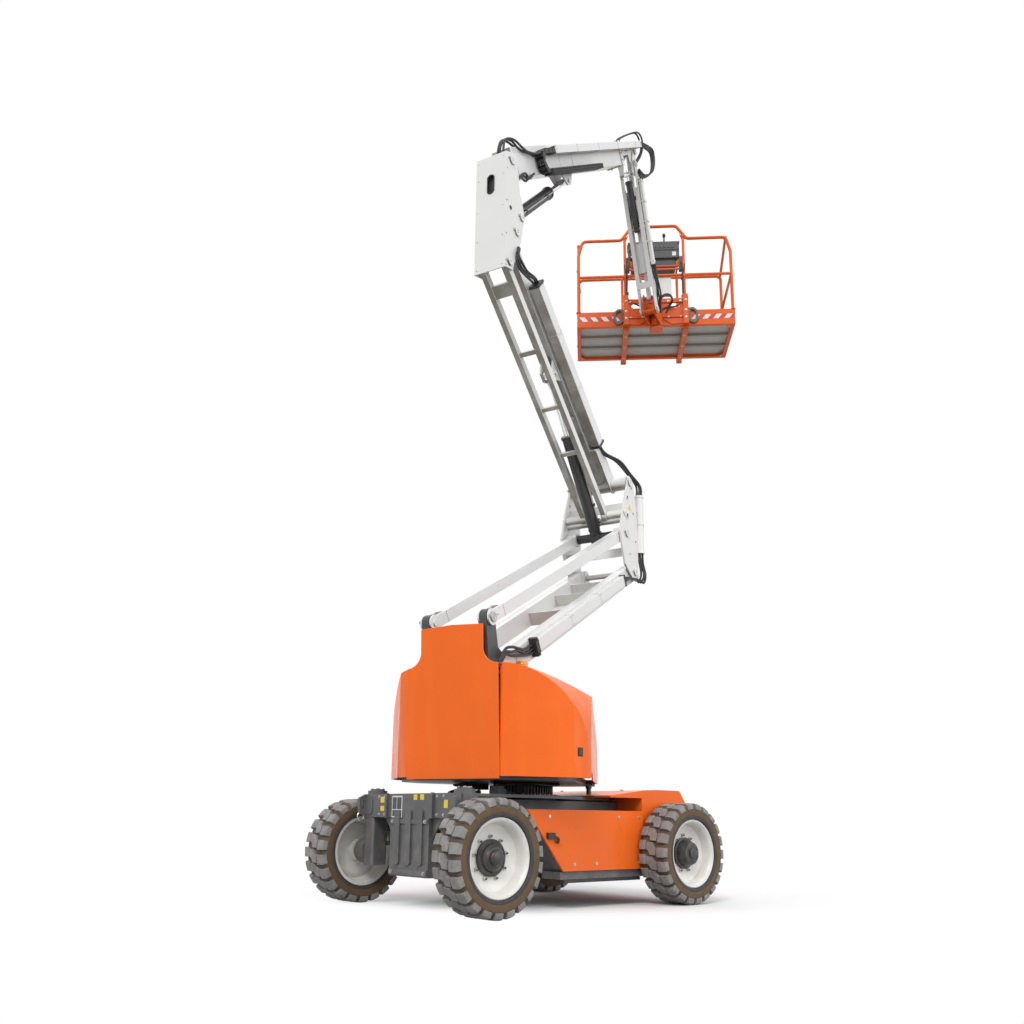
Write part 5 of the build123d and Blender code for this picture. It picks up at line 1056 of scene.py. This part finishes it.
# rubber lip round the tail slot, and its dark inner cover
k = Mesh(TURRET)
k.tube([(BOX_TAIL - 2, y, z0 + 374 + (54 if z > 0 else -54) + z) for y, z in circle(40, 31)],
       5, 8, 0, 2, closed=True)
k.block((BOX_TAIL + 26, -60, z0 + 270), (BOX_TAIL + 32, 60, z0 + 480))
put(k, "slot_lip", "top_upright", [M_PLASTIC], 0)
k = Mesh(TURRET)
for lat in (-118, 118):
    for dz in (-380, -120, 150, 440, 600):
        k.bolt((BOX_TAIL + 1, lat, z0 + dz), (-1, 0, 0), 5)
put(k, "box_tail_screws", "top_upright", [M_WHITE], 0.4)

# ---------------------------------------------------------------- boom
k = Mesh(BOOM)
# collar, wear pads and their screws at the mouth of the outer tube
for y0, y1, z0, z1 in ((114, 128, -92, 92), (-128, -114, -92, 92), (-128, 128, 79, 92),
                       (-128, 128, -92, -79)):
    k.block((OUTER_LENGTH - 78, y0, z0), (OUTER_LENGTH - 14, y1, z1))
for s in SIDES:
    for y in (-70, 0, 70):
        k.bolt((OUTER_LENGTH - 46, y, s * 92), (0, 0, s), 9, 1)
    for z in (-50, 50):
        k.bolt((OUTER_LENGTH - 46, s * 128, z), (0, s, 0), 9, 1)
    for x in (206, 1180, 1500):
        k.bead((x, -118, s * BOOM_SIDE), (x, 118, s * BOOM_SIDE))
    k.bead((1190, -118, s * 64), (1488, -118, s * 64), 5)
    k.ring((0, 0, s * BOOM_SIDE), (0, 0, s), 0, 8, 58, 34, 36)
for x in (820, 1300, 1780, 2020):
    k.block((x - 18, -142, 84), (x + 18, -120, 92))
    k.bolt((x, -130, 92), Z, 6, 1)
put(k, "boom_outer_fittings", "boom_outer", [M_WHITE, M_ZINC], 0.8)

k = Mesh(BOOM)
for s in SIDES:
    k.ring((BOOM_LENGTH, 0, s * 64), (0, 0, s), 0, 9, 46, 23, 36, 0, (1, 2))
    k.bead((BOOM_LENGTH - 330, 88, s * 66), (BOOM_LENGTH - 60, 88, s * 66))
    for x in (-300, -240):
        k.bolt((BOOM_LENGTH + x, 30, s * 65), (0, 0, s), 8, 1)
for x in (3060, 3240):
    k.block((x - 20, 20, 64), (x + 20, 36, 94))
    k.bolt((x, 36, 78), Y, 7, 1)
for x in (960, 1500, 2100, 2700, 3300, 3470):
    k.block((x - 9, 23, 90), (x + 9, 95, 174))
put(k, "boom_inner_fittings", "boom_inner", [M_WHITE, M_ZINC], 0.8)


def perforated(k, place, u0, u1, v0, v1, pitch, r, w0, w1, n=8):
    """A sheet with round holes of n sides; place(u, v, w) gives the point in the mesh's frame."""
    nu, nv = round((u1 - u0) / pitch), round((v1 - v0) / pitch)
    du, dv = (u1 - u0) / nu, (v1 - v0) / nv
    rim = circle(n, 1.0, math.pi / n)
    cell = [(c / max(abs(c), abs(s)), s / max(abs(c), abs(s))) for c, s in rim]
    faces = []
    for q in range(n):
        p = (q + 1) % n
        faces += [(q, p, n + p, n + q), (n + q, n + p, 3 * n + p, 3 * n + q),
                  (2 * n + q, 3 * n + q, 3 * n + p, 2 * n + p)]
    for u, v in ((u0 + du * (i + 0.5), v0 + dv * (j + 0.5)) for i in range(nu) for j in range(nv)):
        pts = []
        for w in (w0, w1):
            pts += [place(u + c * du / 2, v + s * dv / 2, w) for c, s in cell]
            pts += [place(u + c * r, v + s * r, w) for c, s in rim]
        k.add(pts, faces)


TRAY_START, TRAY_END = 740, 2060
k = Mesh(BOOM)
perforated(k, lambda u, v, w: (u, w, v), TRAY_START, TRAY_END, 87, 177, 22, 7.0, -143.5, -139.5)
for z in (175.5, 86.0):
    perforated(k, lambda u, v, w: (u, v, w), TRAY_START, TRAY_END, -143, -103, 20, 6.0, z, z + 4)
for x in (TRAY_START, TRAY_END):
    k.block((x - 3, -144, 86), (x + 3, -102, 180))
k.block((TRAY_START, -105, 175), (TRAY_END, -100, 183))
tray = put(k, "perforated_tray", "boom_outer", [M_PLASTIC], 0)
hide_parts("boom_tray")


def chain_link(k, x, y, a, inset):
    """Two side plates, two cross bars and a pivot of the energy chain, at the angle a."""
    c, s = math.cos(a), math.sin(a)

    def turned(points):
        return [(x + c * u - s * v, y + s * u + c * v) for u, v in points]

    plate = turned([(-26, -16), (-18, -21.5), (18, -21.5), (26, -16), (26, 16), (18, 21.5), (-18, 21.5),
                    (-26, 16)])
    k.prism(plate, 93 + inset, 99 + inset)
    k.prism(plate, 165 - inset, 171 - inset)
    for v in (-19, 19):
        k.prism(turned([(-12, v - 2.4), (12, v - 2.4), (12, v + 2.4), (-12, v + 2.4)]), 98, 166)
    k.disc((*turned([(-21, 0)])[0], 170 - inset), Z, 8, 2, 14, 0, 0.5)


k = Mesh(BOOM)
bend = [(-math.pi / 2 - math.pi * i / 6) for i in range(1, 6)]
links = [(2000 - 45 * i, -116.5, math.pi) for i in range(29)]
links += [(715 + 85.5 * math.cos(a), -31 + 85.5 * math.sin(a), a - math.pi / 2) for a in bend]
links += [(715 + 45 * i, 54.5, 0.0) for i in range(6)]
for i, (x, y, a) in enumerate(links):
    chain_link(k, x, y, a, 2.5 if i % 2 else 0.0)
chain = put(k, "chain_links", "boom_outer", [M_PLASTIC], 0.8)
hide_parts("energy_chain")
k = Mesh(BOOM)
CHAIN_LINE = ((1990, -116), (1400, -116), (760, -116), (690, -112), (640, -75), (629, -31), (640, 13),
              (690, 50), (760, 55), (925, 55))
for i, z in enumerate((110, 125, 139, 153)):
    k.tube([(x, y, z) for x, y in CHAIN_LINE], 5.5 + i % 2, 8)
put(k, "chain_hoses", "boom_outer", [M_RUBBER], 0)

# ---------------------------------------------------------------- jib
k = Mesh(JIB)
for s in SIDES:
    for x in (0, JIB_LENGTH):
        k.ring((x, 0, s * JIB_SIDE), (0, 0, s), 0, 4, 40, 23)
    for x in (880, 1150, 1320):
        k.bolt((x, 0, s * JIB_SIDE), (0, 0, s), 6, 1)
    k.disc((700, 0, s * (JIB_SIDE - 2)), (0, 0, s), 30, 7, 28)
for x in (200, 420, 640, 860, 1080):
    k.block((x - 8, -20, 94), (x + 8, 40, 145))
k.disc((640, 22, 94), Z, 16, 2.2, 24, 2)
put(k, "jib_fittings", "jib_arm", [M_WHITE, M_ZINC, M_YELLOW], 0.8)
k = Mesh(JIB)
for x, d in ((178, -1), (1122, 1)):
    k.spin((x, 10, 121), (d, 0, 0), [(-8, 27), (6, 27), (10, 22), (10, 12)], 28)
k.block((430, -30, -62), (560, 26, -50))
put(k, "jib_clamps", "jib_arm", [M_PLASTIC], 1.5)
k = Mesh(member(BOOM_TIP, JIB_LINK_TIP))
for x in (0, JIB_LENGTH):
    for s in SIDES:
        k.ring((x, 0, s * 22), (0, 0, s), -2, 4, 33, 24)
put(k, "jib_link_rings", "jib_link", [M_WHITE], 0.8)

# ---------------------------------------------------------------- platform
k = Mesh(PLATFORM)
perforated(k, lambda u, v, w: (u, v, w), 134, 896, -871, 871, 24, 8.5, -10.2, -8.9, 6)
put(k, "floor_sheet", "platform", [M_SHEET], 0)
k = Mesh(PLATFORM)
k.block((134, -871, -8.9), (896, 871, -7.9))
put(k, "floor_liner", "platform", [M_LINER], 0)
# raised bars on the deck's walking side
k = Mesh(PLATFORM)
k.block((96, -909, -0.5), (934, 909, 1.5))
for i in range(19):
    for j in range(42):
        u, v = 130 + 42.5 * i, -875 + 42.5 * j + (21 if i % 2 else 0)
        if v < 880:
            s = 1 if (i + j) % 2 else -1
            k.prism([(u - 12, v - s * 12 - 2.5), (u - 8, v - s * 12 - 2.5), (u + 12, v + s * 10 + 2.5),
                     (u + 8, v + s * 10 + 2.5)], 1.0, 3.2)
put(k, "deck_tread", "platform", [M_SHEET], 0)

# hazard tape on the outer thirds of the near toe board
k = Mesh(PLATFORM)
z0, z1, stripe, lean = 22.0, 78.0, 62.0, 42.0
lo, hi = 412.0, 913.0
for s in SIDES:
    for i in range(-1, int((hi - lo) / stripe) + 2):
        a, b = lo + stripe * i, lo + stripe * (i + 1)
        quad = [(max(lo, min(hi, v)), z) for v, z in ((a, z0), (b, z0), (b + lean, z1), (a + lean, z1))]
        if quad[1][0] - quad[0][0] >= 1 or quad[2][0] - quad[3][0] >= 1:
            k.prism([(s * v, z) for v, z in quad], 88.6, 89.95, "yz", i % 2)
put(k, "hazard_tape", "platform", [M_LABEL, M_RED], 0)

# grey handles beside the two posts
k = Mesh(PLATFORM)
OUTER = [(378, 158), (440, 162), (486, 118), (492, 20), (452, -38), (392, -20), (378, 0)]
INNER = [(402, 132), (432, 134), (460, 104), (464, 30), (440, -4), (404, 8), (402, 20)]
for s in SIDES:
    lines = ((64, OUTER), (84, OUTER), (84, INNER), (64, INNER))
    k.loft([[(x, s * u, v) for u, v in line] for x, line in lines], 0, True)
    for z in (10, 130):
        k.block((82, s * 388 - 12, z - 10), (91, s * 388 + 12, z + 10))
put(k, "post_handles", "platform", [M_HANDLE], 4)

# post caps, gussets and bolts of the mount; clamps on the rails; nuts under the floor beams
k = Mesh(PLATFORM)
for s in SIDES:
    lat = s * POST_LAT
    k.prism([(56, 288), (92, 288), (92, 330), (74, 344), (56, 330)], lat - 30, lat + 30, "xz")
    k.block((26, lat - 33, -56), (94, lat + 33, -46))
    for x in (100, 944):
        k.block((x, lat - 34, -96), (x + 12, lat + 34, -44))
    for z in (20, 110, 240):
        k.bolt((29, lat, z), (-1, 0, 0), 9, 1)
    for y in (150, 290):
        for z in (50, 255):
            k.bolt((79.5, s * y, z), (-1, 0, 0), 9, 1)
    for x in (260, 520, 800):
        k.bolt((x, lat, -92), (0, 0, -1), 8, 1)
    # collars where posts meet the rails, and knee braces of the hump
    for x, z in ((110, 152), (110, 598), (110, 1122), (920, 152), (920, 580)):
        k.ring((x, lat, z), Z, -14, 16, 23, 16, 24, 0, (2, 2))
    k.prism([(lat - s * 46, 1160), (lat + s * 16, 1092), (lat + s * 16, 1056), (lat - s * 10, 1056)],
            107, 113, "yz")
    corner = s * CORNER_LAT
    for x in (110, 920):
        collar = [(-9, 30), (0, 30), (3, 27), (10, 22), (10, 16), (-9, 16)]
        k.spin((x, corner, 150), Z, collar, 24, 0, 0, True)
        k.block((x - 26, corner - 18, 140.3), (x + 26, corner + 18, 146))
    k.prism([(14, 92), (80, 200), (80, 92)], s * 66 - 4, s * 66 + 4, "xz")
    # corner gussets of the floor frame
    for x, d in ((135, 1), (895, -1)):
        k.prism([(x, s * TOE_LAT), (x + d * 60, s * TOE_LAT), (x, s * 809)], -49, -44)
        k.bolt((x + d * 20, s * 849, -49), (0, 0, -1), 6, 1)
for z in (45, 235):
    k.block((66, -POST_LAT, z - 3), (80, POST_LAT, z + 3))
k.prism([(8, 90), (80, 250), (80, 20), (8, 20)], -4, 4, "xz")
k.disc((0, 0, 91), Z, 34, 12, 32)
k.bolt((0, 0, 103), Z, 12, 1)
for x, y in circle(8, 56):
    k.bolt((x, y, 92), Z, 6, 1)
put(k, "platform_fittings", "platform", [M_RAIL, M_ZINC], 1)

# cables that run up the two near posts, with their clips
k = Mesh(PLATFORM)
k.tube([(70, -60, 130), (76, -120, 170), (84, -240, 190), (88, -318, 260), (90, -322, 420), (90, -322, 700),
        (118, -300, 800)], 9)
k.tube([(70, 60, 130), (78, 200, 210), (86, 318, 300), (88, 322, 560), (96, 318, 690), (122, 290, 790)], 9)
for lat, z in ((-322, 330), (-322, 560), (322, 380), (322, 600)):
    k.block((84, lat - 14, z - 9), (128, lat + 14, z + 9))
for s in SIDES:
    k.tube([(100, s * 326, 640), (84, s * 340, 660), (86, s * 352, 720), (100, s * 352, 760)], 6)
put(k, "platform_cables", "platform", [M_RUBBER], 0)

# gate: latch and hinge collars
k = Mesh(PLATFORM)
k.block((158, 880, 640), (186, 912, 700))
k.tube([(172, 904, 690), (168, 912, 730), (172, 905, 765)], 7)
for z in (200, 610, 1066):
    for x in (172, 858):
        k.ring((x, CORNER_LAT, z), Z, -12, 13, 19, 14, 20, 1, (1, 2))
put(k, "gate_latch", "gate", [M_BLACK, M_RAIL], 0.8)

# ---------------------------------------------------------------- console
# rear cover with its fold line, fins and screws; top panel with rim
k = Mesh(PLATFORM)
k.prism([(121, 852), (127, 1062), (131, 1062), (131, 852)], -298, 298, "xz")
k.block((118, -300, 955), (126, 300, 961))
for i in range(9):
    y = -225 + 50 * i
    k.block((119, y - 14, 985), (127, y + 14, 989), 1)
k.block((128, -306, 1056), (328, 306, 1072))
k.block((140, -290, 1070), (316, 290, 1077), 1)
for s in SIDES:
    for z in (870, 935, 1040):
        k.bolt((122, s * 284, z), (-1, 0, 0), 5, 1)
put(k, "console_cover", "platform", [M_PANEL, M_PLASTIC], 2)
# two sticks with boots and knobs, and a row of switches
k = Mesh(PLATFORM)
k.block((122, 150, 740), (130, 190, 846))
for y in (-130, 130):
    k.block((150, y - 40, CONSOLE_TOP), (240, y + 40, CONSOLE_TOP + 3), 1)
    k.spin((196, y, CONSOLE_TOP + 1), Z,
           [(0, 30), (6, 29), (10, 24), (16, 25), (20, 18), (26, 19), (30, 12)], 28)
    k.tube([(196, y, 1100), (194, y, 1140), (190, y, 1172)], 9, 14)
    k.spin((190, y, 1168), Z, [(0, 14), (12, 19), (34, 18), (44, 12), (47, 0)])
for y in (-262, -242, -222, -40, -18, 4, 26):
    k.disc((276, y, CONSOLE_TOP), Z, 8, 5, 16, 1)
    k.tube([(276, y, CONSOLE_TOP + 4), (272, y, CONSOLE_TOP + 22)], 3.2, 8, 1)
put(k, "console_controls", "platform", [M_PLASTIC, M_ZINC], 0.8)
k = Mesh(PLATFORM)
k.spin((286, 240, CONSOLE_TOP), Z,
       [(0, 24), (8, 24), (8, 12), (14, 12), (16, 26), (26, 28), (32, 20), (34, 0)], 32)
for y in (120, 150):
    k.disc((286, y, CONSOLE_TOP), Z, 10, 8, 20, 1)
put(k, "console_buttons", "platform", [M_RED, M_YELLOW], 0.8)
k = Mesh(PLATFORM)
k.block((119.6, -262, 876), (122, -214, 928))
k.block((119.6, 252, 868), (122, 272, 888))
put(k, "console_label", "platform", [M_LABEL], 0)
# orange brackets beside the console and its guard hoop
k = Mesh(PLATFORM)
for s in SIDES:
    k.prism([(s * 256, 742), (s * 330, 742), (s * 330, 842), (s * 300, 848), (s * 256, 800)], 126, 134, "yz")
    k.block((118, s * 318 - 12, 700), (142, s * 318 + 12, 850))
    k.block((130, s * 268 - 8, 690), (300, s * 268 + 8, 738))
    k.bolt((126, s * 300, 780), (-1, 0, 0), 7, 1)
k.tube([(308, -296, 1060), (312, -296, 1130), (320, -270, 1160), (320, 0, 1164), (320, 270, 1160),
        (312, 296, 1130), (308, 296, 1060)], 11, 14)
k.block((120, -330, 738), (140, 330, 750))
k.block((120, -340, 695), (136, 340, 712))
put(k, "console_brackets", "platform", [M_RAIL, M_ZINC], 1.5)
# document box on the rails
k = Mesh(PLATFORM)
k.block((122, -196, 362), (176, 16, 612))
k.block((118, -200, 606), (180, 20, 626))
k.block((116, -110, 592), (124, -70, 618), 1)
put(k, "document_box", "platform", [M_LABEL, M_PLASTIC], 5)

# ---------------------------------------------------------------- bracket between jib and rotator
k = Mesh(TURRET)
x0, z0 = ROTATOR
for s in SIDES:
    for x, z in (JIB_TIP, JIB_LINK_TIP):
        k.ring((x, s * BRACKET_LAT, z), (0, s, 0), 0, 4, 36, 23)
    for dx, dz in ((-70, 60), (-30, 40), (-70, -60), (-30, -80)):
        k.bolt((x0 + dx, s * BRACKET_LAT, z0 + dz), (0, s, 0), 7, 1)
for h in (-100, -60, -10, 40, 78):
    k.spin((x0, 0, z0 + h), Z, [(-5, 69), (-3, 72), (3, 72), (5, 69), (5, 62), (-5, 62)], 40, 0, 0, True)
k.prism([(x0 - 130, z0 + 84), (x0 - 60, z0 + 84), (x0 - 70, z0 + 30), (x0 - 120, z0 + 10)], -57, 57, "xz")
put(k, "bracket_fittings", "bracket", [M_RAIL, M_ZINC], 1)

# ---------------------------------------------------------------- floor, light and camera
def blended(t, fac, first, second):
    """A mix of two shaders."""
    both = node(t, "ShaderNodeMixShader", {0: fac})
    t.links.new(first.outputs[0], both.inputs[1])
    t.links.new(second.outputs[0], both.inputs[2])
    return both.outputs[0]


def larger(t, a, b):
    return node(t, "ShaderNodeMath", {0: a, 1: b}, operation="MAXIMUM").outputs[0]


# metres from the middle where the floor starts to fade and where it is white; x counts for less
FADE_START, FADE_END, FADE_X = 1.55, 2.35, 0.86


def floor_material():
    """White, fading into the white background; darker to light that bounces off it."""
    m = bpy.data.materials.new("floor")
    t, out = emptied(m, "ShaderNodeOutputMaterial")
    coord = node(t, "ShaderNodeTexCoord").outputs["Object"]
    spot = node(t, "ShaderNodeVectorMath", {0: coord, 1: (FADE_X, 1.0, 0)}, operation="MULTIPLY").outputs[0]
    r = node(t, "ShaderNodeVectorMath", {0: spot}, operation="LENGTH").outputs["Value"]
    fade = node(t, "ShaderNodeMapRange", {"Value": r, "From Min": FADE_START, "From Max": FADE_END},
                interpolation_type="SMOOTHSTEP").outputs[0]
    grain = ramp(t, noise(t, coord, 3.0, 4.0), 0.3, 0.7)
    col = mix(t, grain, (0.86, 0.86, 0.86), (0.89, 0.89, 0.89))
    white = node(t, "ShaderNodeEmission", {"Color": (1, 1, 1, 1), "Strength": 1.0})
    see = node(t, "ShaderNodeLightPath")
    seen = larger(t, see.outputs["Is Camera Ray"], see.outputs["Is Glossy Ray"])
    col = mix(t, seen, (0.40, 0.40, 0.39), col)
    body = node(t, "ShaderNodeBsdfDiffuse", {"Color": col})
    t.links.new(blended(t, times(t, fade, seen), body, white), out)
    return m


k = Mesh(Matrix.Identity(4))
k.add([(-60, -60, 0), (60, -60, 0), (60, 60, 0), (-60, 60, 0)], [(0, 1, 2, 3)])
floor = k.object("floor", [floor_material()], 0)
floor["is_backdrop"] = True

scene = bpy.context.scene


def studio():
    """A soft white world, which the camera sees as plain white."""
    world = bpy.data.worlds.new("studio")
    t, out = emptied(world, "ShaderNodeOutputWorld")
    see = node(t, "ShaderNodeLightPath")
    seen = larger(t, see.outputs["Is Camera Ray"], see.outputs["Is Glossy Ray"])
    seen = larger(t, seen, see.outputs["Is Transmission Ray"])
    soft_light = node(t, "ShaderNodeBackground", {"Color": (0.97, 0.98, 1.0, 1), "Strength": 0.74})
    white = node(t, "ShaderNodeBackground", {"Color": (1, 1, 1, 1), "Strength": 1.0})
    t.links.new(blended(t, seen, soft_light, white), out)
    scene.world = world


studio()


def sun(name, towards, strength, angle, colour=(1, 1, 1)):
    """A soft sun shining from the direction towards."""
    light = bpy.data.lights.new(name, "SUN")
    light.energy, light.angle, light.color = strength, math.radians(angle), colour
    o = bpy.data.objects.new(name, light)
    o.rotation_mode = "QUATERNION"
    o.rotation_quaternion = (-Vector(towards)).to_track_quat("-Z", "Y")
    scene.collection.objects.link(o)


sun("key", (-0.62, -0.42, 0.66), 1.38, 24, (1.0, 0.985, 0.96))
sun("fill", (0.35, -0.85, 0.40), 0.78, 50, (0.97, 0.98, 1.0))
sun("back", (0.2, 0.7, 0.7), 0.35, 60)

EYE = (-6.374, -6.072, 0.613)
YAW, PITCH, ROLL = math.atan2(0.747, 0.665), math.radians(13.2), math.radians(0.7)
SENSOR = 36.0
FOCAL, SHIFT_UP = 0.927734375, 0.080078125    # in widths of the picture
camera = bpy.data.objects.new("camera", bpy.data.cameras.new("camera"))
camera.data.sensor_width = SENSOR
camera.data.lens = FOCAL * SENSOR
camera.data.shift_y = SHIFT_UP
camera.location = EYE
looks = Vector((math.cos(YAW) * math.cos(PITCH), math.sin(YAW) * math.cos(PITCH), math.sin(PITCH)))
level = looks.to_track_quat("-Z", "Y").to_matrix().to_4x4()
camera.rotation_mode = "QUATERNION"
camera.rotation_quaternion = (Matrix.Rotation(-ROLL, 4, looks) @ level).to_quaternion()
scene.collection.objects.link(camera)
scene.camera = camera
scene.view_settings.view_transform = "Standard"

lo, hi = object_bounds()
